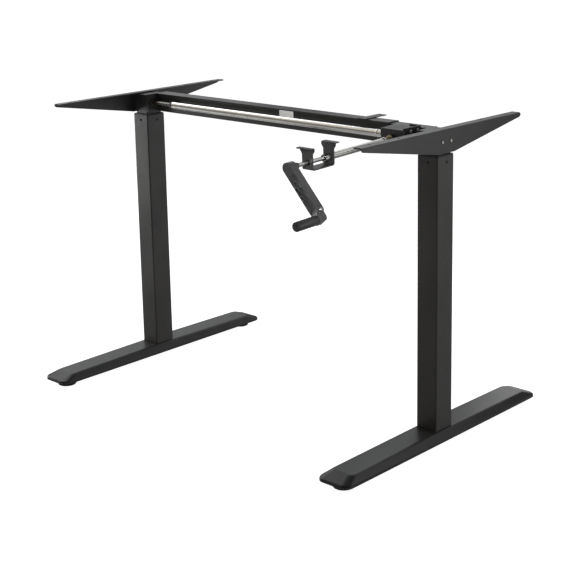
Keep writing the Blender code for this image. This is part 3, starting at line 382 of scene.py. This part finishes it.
def blend_colour(tree, mask, first, second):
    node = tree.nodes.new("ShaderNodeMix")
    node.data_type = "RGBA"
    tree.links.new(mask, node.inputs["Factor"])
    for socket, value in ((node.inputs["A"], first), (node.inputs["B"], second)):
        if hasattr(value, "links"):
            tree.links.new(value, socket)
        else:
            socket.default_value = (*value, 1.0)
    return node.outputs["Result"]


def bump(tree, shader, height, strength, distance):
    node = tree.nodes.new("ShaderNodeBump")
    node.inputs["Strength"].default_value = strength
    node.inputs["Distance"].default_value = distance
    tree.links.new(height, node.inputs["Height"])
    tree.links.new(node.outputs["Normal"], shader.inputs["Normal"])


def new_finish(name, **settings):
    """A material with a Principled shader and these plain values on its own sockets."""
    made = bpy.data.materials.new(name)
    made.use_nodes = True
    shader = made.node_tree.nodes["Principled BSDF"]
    for key, value in settings.items():
        shader.inputs[key.replace("_", " ")].default_value = value
    return made, made.node_tree, shader


# ---------------------------------------------------------------- finishes
def tinted(colour, factor):
    return tuple(min(1.0, channel * factor) for channel in colour)


def grained_finish(name, colour, worn_and_highlit, rough, grain, depth, cloud=9.0, wear_and_highlight=0.35, tone=0.12, specular=0.5):
    """A coated or moulded surface: slow tone changes, fine grain, and lighter edges that are partly rubbed coat
    and partly a painted highlight.
    """
    made, tree, shader = new_finish(name, Specular_IOR_Level=specular)
    surface = add_group(tree, fine_grain(), Grain=grain, Cloud=cloud)
    edge = add_group(tree, edge_wear_and_highlight(), Radius=0.0011, Amount=wear_and_highlight)
    base = blend_colour(tree, surface.outputs["Mottle"], tinted(colour, 1 - tone), tinted(colour, 1 + tone))
    # The edge mask blends the colour toward the lighter edge colour: a painted edge highlight mixed with rubbed
    # coat.
    tree.links.new(blend_colour(tree, edge.outputs["Mask"], base, worn_and_highlit), shader.inputs["Base Color"])
    roughness = ramp(tree, surface.outputs["Mottle"], 0.0, 1.0, rough * 0.93, rough * 1.08)
    tree.links.new(roughness, shader.inputs["Roughness"])
    bump(tree, shader, surface.outputs["Height"], 0.35, depth)
    return made


def metal_finish(name, colour, rough, stretch, depth=0.000004, dull=0.90):
    """Bare or plated metal with fine lines."""
    made, tree, shader = new_finish(name, Metallic=1.0)
    lines = add_group(tree, polish_lines(), Stretch=stretch)
    cloud = add_group(tree, fine_grain(), Grain=400.0, Cloud=38.0)
    base = blend_colour(tree, cloud.outputs["Mottle"], tinted(colour, dull), colour)
    tree.links.new(base, shader.inputs["Base Color"])
    roughness = ramp(tree, lines.outputs["Streak"], 0.0, 1.0, rough * 0.88, rough * 1.14)
    tree.links.new(roughness, shader.inputs["Roughness"])
    bump(tree, shader, lines.outputs["Height"], 0.12, depth)
    return made


LOOKS = {}


def make_finishes(colours):
    coat = tuple(colours.coat)
    coat_light = tuple(colours.coat_light)
    plastic = tuple(colours.plastic)
    crank = tuple(colours.crank)
    chrome = tuple(colours.chrome)
    LOOKS["coat"] = grained_finish(
        "graphite_powder_coat", coat, coat_light, 0.34, 1500.0, 0.00006, specular=0.35)
    LOOKS["coat_column"] = grained_finish(
        "column_powder_coat", tuple(colours.column_coat), coat_light, 0.33, 1500.0, 0.00005, specular=0.40)
    LOOKS["coat_foot"] = grained_finish(
        "foot_powder_coat", tinted(coat, 0.82), coat_light, 0.34, 1500.0, 0.00005, specular=0.30)
    LOOKS["plastic"] = grained_finish(
        "moulded_black", plastic, tinted(plastic, 2.6), 0.46, 2300.0, 0.00004, 24.0, 0.25)
    LOOKS["crank"] = grained_finish(
        "crank_satin_black", crank, tinted(crank, 2.2), 0.38, 1900.0, 0.00005, 20.0)
    LOOKS["grip"] = grained_finish(
        "grip_black", tinted(plastic, 0.8), tinted(plastic, 2.5), 0.34, 2100.0, 0.00003, 30.0)
    LOOKS["rubber"] = grained_finish(
        "foot_pad_black", tinted(plastic, 0.8), tinted(plastic, 2.0), 0.66, 1600.0, 0.00008)
    LOOKS["screw_black"] = grained_finish(
        "screw_black", tinted(plastic, 0.6), tinted(plastic, 3.0), 0.40, 2500.0, 0.00002)
    LOOKS["chrome_x"] = metal_finish("polished_tube", chrome, 0.18, (14.0, 700.0, 700.0))
    LOOKS["chrome_y"] = metal_finish("polished_crank_tube", tinted(chrome, 0.60), 0.24, (700.0, 14.0, 700.0))
    LOOKS["zinc"] = metal_finish("zinc_plate", (0.66, 0.65, 0.61), 0.28, (900.0, 900.0, 900.0))
    LOOKS["dark_rod"] = metal_finish("oiled_rod", (0.10, 0.095, 0.085), 0.34, (20.0, 800.0, 800.0))
    LOOKS["brass"] = metal_finish("worn_brass", (0.52, 0.44, 0.26), 0.34, (900.0, 900.0, 900.0), dull=0.65)
    LOOKS["label"] = grained_finish(
        "label_foil_painted_glow", tuple(colours.label), (0.8, 0.8, 0.8), 0.42, 2500.0, 0.00001, 60.0, 0.1, 0.04)
    # Painted light: the blank label glows with its own colour, so it looks brighter than the studio lamps make
    # it.
    label_shader = LOOKS["label"].node_tree.nodes["Principled BSDF"]
    label_shader.inputs["Emission Color"].default_value = (*colours.label, 1)
    label_shader.inputs["Emission Strength"].default_value = 0.32


CAD_LOOKS = {
    "powder_coat": "coat", "black_plastic": "plastic", "polished_steel": "chrome_y", "zinc_steel": "zinc",
    "brass": "brass",
}


class DESK_OT_finishes(bpy.types.Operator):
    """Makes every finish and puts one on each CAD node"""

    bl_idname = "desk.finishes"
    bl_label = "Finishes"

    def execute(self, context):
        make_finishes(context.scene.desk_colours)
        for name, node in NODES.items():
            node.data.materials.clear()
            node.data.materials.append(LOOKS[CAD_LOOKS[SLOT_OF[name]]])
        return {"FINISHED"}


# ---------------------------------------------------------------- feet
def foot_shell(side, sizes):
    """A pressed foot: rounded corners, upright rim, sloping sides and a flat top that falls to both ends."""
    node = f"{side}_foot"
    low, high = (Vector(corner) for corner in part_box(node))
    middle, size = (low + high) / 2, high - low
    rim, sheet, drop = 0.0065, 0.0020, 0.0028
    top_wide, top_long = 0.059, 0.626
    column = 0.0326
    bpy.ops.mesh.primitive_cube_add(
        size=1, location=(middle.x, 0, low.z + rim / 2), scale=(size.x, size.y, rim))
    bpy.ops.object.transform_apply(location=False, rotation=False, scale=True)
    piece = named(f"{node}_finished")
    upright = lambda a, b: abs(a.z - b.z) > rim / 2
    pick(piece, edges=upright)
    bpy.ops.mesh.bevel(offset=sizes.foot_corner, segments=10, affect="EDGES")
    done()
    pick(piece, faces=lambda face: face.normal.z > 0.9)
    bpy.ops.mesh.extrude_region_move(TRANSFORM_OT_translate={"value": (0, 0, size.z - rim)})
    bpy.ops.transform.resize(
        value=(top_wide / size.x, top_long / size.y, 1), center_override=(middle.x, 0, high.z))
    done()
    top = high.z - low.z - rim / 2 - 0.0004
    pick(piece, edges=lambda a, b: min(a.z, b.z) > top)
    bpy.ops.mesh.bevel(offset=sizes.foot_shoulder, segments=5, affect="EDGES", profile=0.5)
    done()
    edge = rim / 2
    pick(piece, edges=lambda a, b: abs(a.z - edge) < 1e-5 and abs(b.z - edge) < 1e-5)
    bpy.ops.mesh.bevel(offset=0.0026, segments=4, affect="EDGES")
    done()
    for y in (-column, column):
        take(piece)
        bpy.ops.object.mode_set(mode="EDIT")
        bpy.ops.mesh.select_all(action="SELECT")
        bpy.ops.mesh.bisect(plane_co=(middle.x, y, 0), plane_no=(0, 1, 0))
        done()
    pick(piece, verts=lambda spot: abs(spot.y) > top_long / 4 and spot.z > (size.z - rim) / 2)
    bpy.ops.transform.translate(value=(0, 0, -drop))
    done()
    take(piece)
    bpy.ops.object.transform_apply(location=True, rotation=False, scale=False)
    pick(piece, faces=lambda face: face.normal.z < -0.9)
    bpy.ops.mesh.delete(type="FACE")
    done()
    take(piece)
    modifier(piece, "SOLIDIFY", thickness=sheet, offset=-1, use_even_offset=True)
    tidy_faces(piece, 1e-6)
    modifier(piece, "WEIGHTED_NORMAL", keep_sharp=True, weight=60)
    settle(piece, LOOKS["coat_foot"], node)


PAD_TALL, PAD_STEM, PAD_ROUND, PAD_LAND, PAD_LIP = 0.0095, 0.0040, 0.0020, 0.0040, 0.0060
PAD_DISH, PAD_COLLAR = 0.0012, 0.0016
THREAD_START, THREAD_PITCH, THREAD_ROOT = 0.0100, 0.0010, 0.86


def leveller_pad(side, end):
    """A round pad with a threaded stem."""
    node = f"{side}_leveller_{end}"
    low, high = (Vector(corner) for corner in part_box(node))
    spot = centre(node)
    radius = (high.x - low.x) / 2
    bpy.ops.mesh.primitive_cylinder_add(
        vertices=48, radius=radius, depth=PAD_TALL, location=(spot.x, spot.y, PAD_TALL / 2))
    piece = named(f"{node}_finished")
    take(piece)
    bpy.ops.object.transform_apply(location=True, rotation=False, scale=False)
    pick(piece, edges=lambda a, b: abs(a.z - b.z) < 1e-6)
    bpy.ops.mesh.bevel(offset=PAD_ROUND, segments=4, affect="EDGES")
    done()
    pick(piece, faces=lambda face: face.normal.z > 0.99)
    around = (spot.x, spot.y, PAD_TALL)
    bpy.ops.mesh.inset(thickness=PAD_LAND)
    bpy.ops.transform.translate(value=(0, 0, -PAD_DISH))
    bpy.ops.mesh.inset(thickness=PAD_LIP)
    bpy.ops.transform.translate(value=(0, 0, PAD_COLLAR))
    neck = radius - PAD_ROUND - PAD_LAND - PAD_LIP
    bpy.ops.mesh.extrude_region_move(TRANSFORM_OT_translate={"value": (0, 0, 0)})
    bpy.ops.transform.resize(value=(PAD_STEM / neck, PAD_STEM / neck, 1), center_override=around)
    for turn in range(int((high.z - THREAD_START) / THREAD_PITCH) - 1):
        for scale in (THREAD_ROOT, 1 / THREAD_ROOT):
            bpy.ops.mesh.extrude_region_move(TRANSFORM_OT_translate={"value": (0, 0, THREAD_PITCH / 2)})
            bpy.ops.transform.resize(value=(scale, scale, 1), center_override=around)
    done()
    tidy_faces(piece, 1e-6)
    settle(piece, LOOKS["rubber"], node)


class DESK_OT_feet(bpy.types.Operator):
    """Presses the two foot shells and turns their levelling pads"""

    bl_idname = "desk.feet"
    bl_label = "Feet and levellers"

    def execute(self, context):
        for side in SIDES:
            foot_shell(side, context.scene.desk_sizes)
            for end in ("front", "rear"):
                leveller_pad(side, end)
        return {"FINISHED"}


# ---------------------------------------------------------------- screws
def pan_head(name, radius, high, shank, reach, recess=0.55):
    """A pan-head screw with a cross recess, standing on its seat at the origin, head up."""
    bpy.ops.mesh.primitive_cylinder_add(vertices=32, radius=radius, depth=high, location=(0, 0, high / 2))
    piece = named(name)
    take(piece)
    bpy.ops.object.transform_apply(location=True, rotation=False, scale=False)
    pick(piece, edges=lambda a, b: min(a.z, b.z) > high * 0.9)
    bpy.ops.mesh.bevel(offset=high * 0.72, segments=5, affect="EDGES")
    done()
    pick(piece, faces=lambda face: face.normal.z < -0.9)
    bpy.ops.mesh.inset(thickness=radius - shank)
    bpy.ops.mesh.extrude_region_move(TRANSFORM_OT_translate={"value": (0, 0, -reach)})
    done()
    wide, deep = radius * recess * 2, high * 0.55
    bpy.ops.mesh.primitive_cube_add(size=1, location=(0, 0, high), scale=(wide, radius * 0.30, 2 * deep))
    bpy.ops.object.transform_apply(location=True, rotation=False, scale=True)
    one = bpy.context.active_object
    bpy.ops.mesh.primitive_cube_add(size=1, location=(0, 0, high), scale=(radius * 0.30, wide, 2 * deep * 0.98))
    bpy.ops.object.transform_apply(location=True, rotation=False, scale=True)
    two = bpy.context.active_object
    for cutter in (one, two):
        modifier(piece, "BOOLEAN", operation="DIFFERENCE", solver="EXACT", object=cutter)
        bpy.data.objects.remove(cutter)
    tidy_faces(piece, 1e-6)
    return piece


def remove(piece):
    bpy.data.objects.remove(piece)


def turn_to(direction):
    """A rotation that takes +Z to the direction."""
    return Vector((0, 0, 1)).rotation_difference(Vector(direction)).to_matrix().to_4x4()


PLATE_THICK = 0.0030
PLATE_SCREW_SHIFTS = {"front": -0.0137, "rear": 0.0122}
PLATE_SCREW_UP = 0.001
COLUMN_SCREW_DOWN, COLUMN_SCREW_BACK = 0.0135, 0.004


class DESK_OT_screws(bpy.types.Operator):
    """Cuts the screws of the brackets, the gearbox and the columns"""

    bl_idname = "desk.screws"
    bl_label = "Screws"

    def execute(self, context):
        bright = pan_head("bright_screw", radius=0.0034, high=0.0019, shank=0.0022, reach=0.011)
        small = pan_head("small_screw", radius=0.0032, high=0.0020, shank=0.0016, reach=0.011)
        black = pan_head("black_screw", radius=0.0031, high=0.0014, shank=0.0015, reach=0.0026)
        for side in SIDES:
            out = OUTWARD[side]
            low, high = (Vector(corner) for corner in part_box(f"{side}_side_bracket"))
            face = high.x if out > 0 else low.x
            for index, end in enumerate(("front", "rear")):
                node = f"{side}_bracket_bolt_{end}"
                spot = centre(node)
                turn = Matrix.Rotation(0.4 + 0.9 * index + 0.5 * out, 4, "X")
                where = Matrix.Translation((face, spot.y, spot.z)) @ turn @ turn_to((out, 0, 0))
                settle(copy_piece(bright, f"{node}_finished", where), LOOKS["zinc"], node)
            low, high = (Vector(corner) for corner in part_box(f"{side}_outer_column"))
            height = high.z - COLUMN_SCREW_DOWN
            middle = (low.x + high.x) / 2
            spots = {
                "front": ((middle, low.y, height), (0, -1, 0)),
                "inner": ((low.x, COLUMN_SCREW_BACK, height), (-1, 0, 0)),
                "outer": ((high.x, COLUMN_SCREW_BACK, height), (1, 0, 0)),
            }
            for label, (spot, way) in spots.items():
                where = Matrix.Translation(spot) @ turn_to(way)
                made = copy_piece(black, f"{side}_column_screw_{label}", where)
                settle(made, LOOKS["screw_black"], None, BODY_OF[f"{side}_outer_column"])
        for side in SIDES:
            if side == "left":
                beam_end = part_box("outer_beam")[0][0] + PLATE_THICK
            else:
                beam_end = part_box("inner_beam")[1][0] - PLATE_THICK
            way = (-OUTWARD[side], 0, 0)
            drive = centre("drive_tube")
            for label, shift in PLATE_SCREW_SHIFTS.items():
                spot = Matrix.Translation((beam_end, drive.y + shift, drive.z + PLATE_SCREW_UP))
                made = copy_piece(black, f"{side}_plate_screw_{label}", spot @ turn_to(way))
                settle(made, LOOKS["screw_black"], None, f"{side}_upper")
        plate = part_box("gearbox_bracket")[1][0]
        for index, end in enumerate(("front", "rear")):
            node = f"gearbox_screw_{end}"
            spot = centre(node)
            turn = Matrix.Rotation(0.3 + index, 4, "X")
            where = Matrix.Translation((plate, spot.y, spot.z)) @ turn @ turn_to((1, 0, 0))
            settle(copy_piece(small, f"{node}_finished", where), LOOKS["zinc"], node)
        for pattern in (bright, small, black):
            remove(pattern)
        return {"FINISHED"}


# ---------------------------------------------------------------- columns and brackets
class DESK_OT_columns(bpy.types.Operator):
    """Finishes the telescopic columns, their guides and the gear housings"""

    bl_idname = "desk.columns"
    bl_label = "Columns"

    def execute(self, context):
        sizes = context.scene.desk_sizes
        for side in SIDES:
            refined(f"{side}_outer_column", LOOKS["coat_column"], sizes.tube_edge)
            refined(f"{side}_inner_column", LOOKS["coat_column"], 0)
            refined(f"{side}_upper_guide", LOOKS["plastic"], 0.0005)
            refined(f"{side}_gear_housing", LOOKS["coat"], 0.0005)
        return {"FINISHED"}


class DESK_OT_brackets(bpy.types.Operator):
    """Finishes the two bent side brackets"""

    bl_idname = "desk.brackets"
    bl_label = "Side brackets"

    def execute(self, context):
        for side in SIDES:
            refined(f"{side}_side_bracket", LOOKS["coat"], context.scene.desk_sizes.sheet_edge)
        return {"FINISHED"}


# ---------------------------------------------------------------- beam
LABEL_THICK, LABEL_X, LABEL_DOWN, LABEL_BEHIND_TAB = 0.0004, 0.022, 0.0105, 0.007


def blank_label(sizes):
    """A thin rounded plate on the beam's front, with nothing printed on it."""
    low, high = (Vector(corner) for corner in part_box("outer_beam"))
    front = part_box("beam_tab")[0][1] + LABEL_BEHIND_TAB
    spot = (LABEL_X, front - LABEL_THICK / 2, high.z - LABEL_DOWN)
    shape = (sizes.label_long, LABEL_THICK, sizes.label_high)
    bpy.ops.mesh.primitive_cube_add(size=1, location=spot, scale=shape)
    bpy.ops.object.transform_apply(location=True, rotation=False, scale=True)
    piece = named("blank_label")
    pick(piece, edges=lambda a, b: abs(a.y - b.y) > LABEL_THICK / 2)
    bpy.ops.mesh.bevel(offset=0.0016, segments=4, affect="EDGES")
    done()
    pick(piece, faces=lambda face: face.normal.y < -0.9)
    bpy.ops.mesh.inset(thickness=0.0009)
    bpy.ops.transform.translate(value=(0, 0.0001, 0))
    done()
    tidy_faces(piece, 1e-7)
    settle(piece, LOOKS["label"], None, BODY_OF["outer_beam"])


class DESK_OT_beam(bpy.types.Operator):
    """Finishes the telescopic crossbeam, its tab and its blank label"""

    bl_idname = "desk.beam"
    bl_label = "Crossbeam"

    def execute(self, context):
        sizes = context.scene.desk_sizes
        for node in ("outer_beam", "inner_beam", "beam_tab"):
            refined(node, LOOKS["coat"], sizes.tube_edge)
        blank_label(sizes)
        return {"FINISHED"}


# ---------------------------------------------------------------- drive and gearbox
TURNED_EDGE, FOLDED_EDGE, BUSH_EDGE = 0.0003, 0.0005, 0.0004
ARM_EDGE, KNUCKLE_EDGE, PIN_EDGE = 0.0008, 0.0024, 0.0002


class DESK_OT_drive(bpy.types.Operator):
    """Finishes the drive shaft, its bushes and the gearbox"""

    bl_idname = "desk.drive"
    bl_label = "Drive shaft and gearbox"

    def execute(self, context):
        refined("drive_tube", LOOKS["chrome_x"], TURNED_EDGE)
        refined("drive_rod", LOOKS["dark_rod"], TURNED_EDGE, limit=50.0)
        refined("tube_bush", LOOKS["plastic"], BUSH_EDGE)
        refined("stub_shaft", LOOKS["zinc"], TURNED_EDGE)
        for node in ("left_shaft_bush", "right_shaft_bush", "gearbox_bush"):
            refined(node, LOOKS["brass"], TURNED_EDGE)
        for node in ("gearbox_case", "gearbox_cover"):
            refined(node, LOOKS["plastic"], context.scene.desk_sizes.moulded_edge, 3)
        refined("gearbox_bracket", LOOKS["coat"], FOLDED_EDGE)
        return {"FINISHED"}


# ---------------------------------------------------------------- crank
CRANK_RING_AT, BUSH_RING_AT, TUBE_RING_X = 0.0590, 0.0370, 0.3065


def joint(name):
    return next(item for item in frame["record"]["behaviour"]["joints"] if item["name"] == name)


def grip_sleeve():
    """A round sleeve with a soft front end, a shallow dimple and a bore for its spindle."""
    spin = joint("grip_spin")
    start, along = Vector(spin["pos_m"]), Vector(spin["axis"]).normalized()
    radius, long, bore, deep = 0.0098, 0.0600, 0.0040, 0.0540
    bpy.ops.mesh.primitive_cylinder_add(vertices=48, radius=radius, depth=long, location=(0, 0, long / 2))
    piece = named("grip_sleeve_finished")
    take(piece)
    bpy.ops.object.transform_apply(location=True, rotation=False, scale=False)
    pick(piece, edges=lambda a, b: min(a.z, b.z) > long - 1e-4)
    bpy.ops.mesh.bevel(offset=0.0026, segments=5, affect="EDGES")
    done()
    pick(piece, faces=lambda face: face.normal.z > 0.999)
    bpy.ops.mesh.inset(thickness=0.0018)
    bpy.ops.mesh.inset(thickness=0.0010)
    bpy.ops.transform.translate(value=(0, 0, -0.0011))
    bpy.ops.mesh.inset(thickness=0.0014)
    bpy.ops.transform.translate(value=(0, 0, 0.0004))
    done()
    pick(piece, edges=lambda a, b: max(a.z, b.z) < 1e-4)
    bpy.ops.mesh.bevel(offset=0.0008, segments=3, affect="EDGES")
    done()
    pick(piece, faces=lambda face: face.normal.z < -0.999)
    bpy.ops.mesh.inset(thickness=radius - 0.0008 - bore)
    bpy.ops.mesh.extrude_region_move(TRANSFORM_OT_translate={"value": (0, 0, deep)})
    done()
    tidy_faces(piece, 1e-6)
    low, high = (Vector(corner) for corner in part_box("grip_sleeve"))
    rear = max(low.y, high.y) - radius * abs(along.z)
    start = start + along * ((start.y - rear) / abs(along.y))
    place(piece, Matrix.Translation(start) @ turn_to(along))
    settle(piece, LOOKS["grip"], "grip_sleeve")


def ring(name, at, along, radius, long, look, body):
    """A short turned ring with chamfered rims and dished ends."""
    bpy.ops.mesh.primitive_cylinder_add(vertices=40, radius=radius, depth=long, location=(0, 0, long / 2))
    piece = named(name)
    take(piece)
    bpy.ops.object.transform_apply(location=True, rotation=False, scale=False)
    pick(piece, edges=lambda a, b: abs(a.z - b.z) < 1e-6)
    bpy.ops.mesh.bevel(offset=0.0007, segments=3, affect="EDGES")
    done()
    for end in (-1, 1):
        pick(piece, faces=lambda face: face.normal.z * end > 0.999)
        bpy.ops.mesh.inset(thickness=0.0008)
        bpy.ops.transform.translate(value=(0, 0, -0.0004 * end))
        done()
    tidy_faces(piece, 1e-6)
    place(piece, Matrix.Translation(at) @ turn_to(along))
    settle(piece, look, None, body)


class DESK_OT_crank(bpy.types.Operator):
    """Finishes the crank shaft, its support, the arm and the folding grip"""

    bl_idname = "desk.crank"
    bl_label = "Crank"

    def execute(self, context):
        refined("crank_tube", LOOKS["chrome_y"], TURNED_EDGE)
        refined("crank_rod", LOOKS["chrome_y"], TURNED_EDGE, limit=50.0)
        spin = joint("crank_turn")
        start, along = Vector(spin["pos_m"]), -Vector(spin["axis"]).normalized()
        ring("crank_tube_ring", start + along * CRANK_RING_AT, along, radius=0.0086, long=0.0070,
             look=LOOKS["chrome_y"], body="crank")
        ring("gearbox_bush_ring", start + along * BUSH_RING_AT, along, radius=0.0094, long=0.0040,
             look=LOOKS["brass"], body="right_upper")
        tube = centre("drive_tube")
        ring("drive_tube_ring", (TUBE_RING_X, tube.y, tube.z), (1, 0, 0), radius=0.0090, long=0.0050,
             look=LOOKS["chrome_x"], body="drive_tube_set")
        refined("crank_collar", LOOKS["chrome_y"], TURNED_EDGE)
        refined("crank_support", LOOKS["coat"], FOLDED_EDGE)
        for node in ("rear_bush", "front_bush"):
            refined(node, LOOKS["plastic"], TURNED_EDGE)
        refined("crank_arm", LOOKS["crank"], ARM_EDGE, 3)
        refined("grip_pin", LOOKS["chrome_y"], PIN_EDGE)
        refined("grip_knuckle", LOOKS["crank"], KNUCKLE_EDGE, 4, limit=24.0)
        grip_sleeve()
        return {"FINISHED"}


# ---------------------------------------------------------------- stage
MIDDLE = (0, 0, 0.35)
LEFT_COLUMN = (-0.457, 0, 0.35)
ROOM_LIGHT = 0.02
LIGHTS = (
    ("right_back_light", (2.08, 1.20, 0.80), MIDDLE, 1.2, 1.4, 8.5),
    ("left_back_light", (-2.08, 1.20, 0.80), MIDDLE, 1.2, 1.4, 2.5),
    ("right_light", (2.36, -0.42, 0.80), MIDDLE, 1.2, 1.4, 2.0),
    ("high_right_back_light", (1.29, 1.53, 2.00), MIDDLE, 1.5, 1.5, 7.0),
    ("high_back_light", (-0.68, 1.88, 2.00), MIDDLE, 1.5, 1.5, 9.5),
    ("high_left_light", (-1.97, 0.35, 2.00), MIDDLE, 1.5, 1.5, 13.5),
    ("left_column_light", (-1.90, -0.60, 0.45), LEFT_COLUMN, 0.6, 0.8, 11.5),
    ("left_inner_light", (0.0, 1.10, 0.35), LEFT_COLUMN, 0.6, 0.6, 1.5),
)
CRANK_LAMP_AT, CRANK_ARM_AT = (1.30, -1.70, 1.30), (0.42, -0.36, 0.61)
CRANK_LAMP_WIDE, CRANK_LAMP_POWER, CRANK_LAMP_SPREAD = 0.12, 0.20, math.radians(13.0)
CAMERA_AT = Vector((2.11009, -2.20935, 1.17705))
CAMERA_AZIMUTH = math.radians(43.305)
CAMERA_ELEVATION = math.radians(12.656)
CAMERA_ROLL = math.radians(-1.111)
CAMERA_LENS, CAMERA_SENSOR, CAMERA_SHIFT = 82.858, 36.0, -92 / 576


def studio_floor(stage):
    bpy.ops.mesh.primitive_plane_add(size=stage.floor, location=(0, 0, -0.0002))
    floor = named("studio_floor")
    made, tree, shader = new_finish("studio_white", Roughness=0.9, Specular_IOR_Level=0.1)
    spot = tree.nodes.new("ShaderNodeTexCoord").outputs["Object"]
    cloud = noise(tree, spot, 1.2, 2.0)
    base = blend_colour(tree, cloud, (0.49, 0.49, 0.49), (0.52, 0.52, 0.52))
    tree.links.new(base, shader.inputs["Base Color"])
    shader.inputs["Emission Color"].default_value = (1, 1, 1, 1)
    seen = tree.nodes.new("ShaderNodeLightPath").outputs["Is Camera Ray"]
    brightness = ramp(tree, seen, 0.0, 1.0, stage.floor_glow, stage.floor_white)
    tree.links.new(brightness, shader.inputs["Emission Strength"])
    floor.data.materials.append(made)


def soft_light(name, at, aim, wide, high, power):
    deselect()
    bpy.ops.object.light_add(type="AREA", location=at)
    light = named(name)
    light.data.shape = "RECTANGLE"
    light.data.size = wide
    light.data.size_y = high
    light.data.energy = power
    light.visible_camera = False
    light.rotation_euler = (Vector(aim) - Vector(at)).to_track_quat("-Z", "Y").to_euler()
    return light


def crank_light(stage):
    """A narrow lamp that fills the hollow of the crank arm and hardly reaches the legs."""
    power = CRANK_LAMP_POWER * stage.light_level
    light = soft_light("crank_light", CRANK_LAMP_AT, CRANK_ARM_AT, CRANK_LAMP_WIDE, CRANK_LAMP_WIDE, power)
    light.data.spread = CRANK_LAMP_SPREAD


def studio_world(stage):
    world = bpy.data.worlds.new("studio")
    bpy.context.scene.world = world
    world.use_nodes = True
    tree = world.node_tree
    tree.nodes.clear()
    out = tree.nodes.new("ShaderNodeOutputWorld")
    seen, lit = tree.nodes.new("ShaderNodeBackground"), tree.nodes.new("ShaderNodeBackground")
    seen.inputs["Color"].default_value = (1, 1, 1, 1)
    way = tree.nodes.new("ShaderNodeSeparateXYZ")
    tree.links.new(tree.nodes.new("ShaderNodeTexCoord").outputs["Generated"], way.inputs[0])
    leftward = ramp(tree, way.outputs["X"], -0.62, -0.34, 1.0, 0.0)
    low = ramp(tree, way.outputs["Z"], -0.02, 0.10, 0.0, stage.low_glow)
    high = ramp(tree, way.outputs["Z"], 0.28, 0.50, 0.0, stage.high_glow)
    glow = math_node(tree, "MULTIPLY", leftward, math_node(tree, "ADD", low, high))
    tree.links.new(math_node(tree, "ADD", glow, ROOM_LIGHT), lit.inputs["Strength"])
    tint = ramp(tree, way.outputs["Y"], -0.5, 0.6, 0.0, 1.0)
    tree.links.new(blend_colour(tree, tint, (1.0, 0.93, 0.84), (0.92, 0.96, 1.0)), lit.inputs["Color"])
    mix = tree.nodes.new("ShaderNodeMixShader")
    path = tree.nodes.new("ShaderNodeLightPath")
    tree.links.new(path.outputs["Is Camera Ray"], mix.inputs["Fac"])
    tree.links.new(lit.outputs[0], mix.inputs[1])
    tree.links.new(seen.outputs[0], mix.inputs[2])
    tree.links.new(mix.outputs[0], out.inputs["Surface"])


def camera():
    deselect()
    bpy.ops.object.camera_add(location=CAMERA_AT)
    made = named("studio_camera")
    azimuth, elevation, roll = CAMERA_AZIMUTH, CAMERA_ELEVATION, CAMERA_ROLL
    back = Vector((math.sin(azimuth) * math.cos(elevation), -math.cos(azimuth) * math.cos(elevation),
                   math.sin(elevation)))
    right = Vector((math.cos(azimuth), math.sin(azimuth), 0))
    up = back.cross(right)
    side = math.cos(roll) * right + math.sin(roll) * up
    head = -math.sin(roll) * right + math.cos(roll) * up
    turn = Matrix((side, head, back)).transposed()
    made.rotation_mode = "QUATERNION"
    made.rotation_quaternion = turn.to_quaternion()
    made.data.sensor_width = CAMERA_SENSOR
    made.data.lens = CAMERA_LENS
    made.data.shift_y = CAMERA_SHIFT
    made.data.clip_start, made.data.clip_end = 0.05, 200
    bpy.context.scene.camera = made


class DESK_OT_stage(bpy.types.Operator):
    """Sets up the floor, the soft lights and the camera"""

    bl_idname = "desk.stage"
    bl_label = "Stage"

    def execute(self, context):
        stage = context.scene.desk_stage
        studio_floor(stage)
        studio_world(stage)
        camera()
        for name, at, aim, wide, high, power in LIGHTS:
            soft_light(name, at, aim, wide, high, power * stage.light_level)
        crank_light(stage)
        context.scene.view_settings.view_transform = "Standard"
        context.scene.view_settings.look = "None"
        return {"FINISHED"}


# ---------------------------------------------------------------- panel and registration
OPERATORS = (
    DESK_OT_finishes, DESK_OT_feet, DESK_OT_columns, DESK_OT_brackets, DESK_OT_beam, DESK_OT_drive,
    DESK_OT_crank, DESK_OT_screws, DESK_OT_stage,
)
GROUPS = {"desk_colours": FinishColours, "desk_sizes": PieceSizes, "desk_stage": StageSizes}


class DESK_PT_pieces(bpy.types.Panel):
    """Lists the pieces and their sizes"""

    bl_label = "Desk frame"
    bl_idname = "DESK_PT_pieces"
    bl_space_type = "VIEW_3D"
    bl_region_type = "UI"
    bl_category = "Desk frame"

    def draw(self, context):
        for attribute, kind in GROUPS.items():
            box = self.layout.box()
            for key in kind.__annotations__:
                box.prop(getattr(context.scene, attribute), key)
        for operator in OPERATORS:
            self.layout.operator(operator.bl_idname)


def register():
    for kind in (*GROUPS.values(), *OPERATORS, DESK_PT_pieces):
        bpy.utils.register_class(kind)
    for attribute, kind in GROUPS.items():
        setattr(bpy.types.Scene, attribute, bpy.props.PointerProperty(type=kind))


def unregister():
    for attribute in GROUPS:
        delattr(bpy.types.Scene, attribute)
    for kind in reversed((*GROUPS.values(), *OPERATORS, DESK_PT_pieces)):
        bpy.utils.unregister_class(kind)


def main():
    register()
    for operator in OPERATORS:
        family, name = operator.bl_idname.split(".")
        getattr(getattr(bpy.ops, family), name)()


if __name__ == "__main__":
    main()
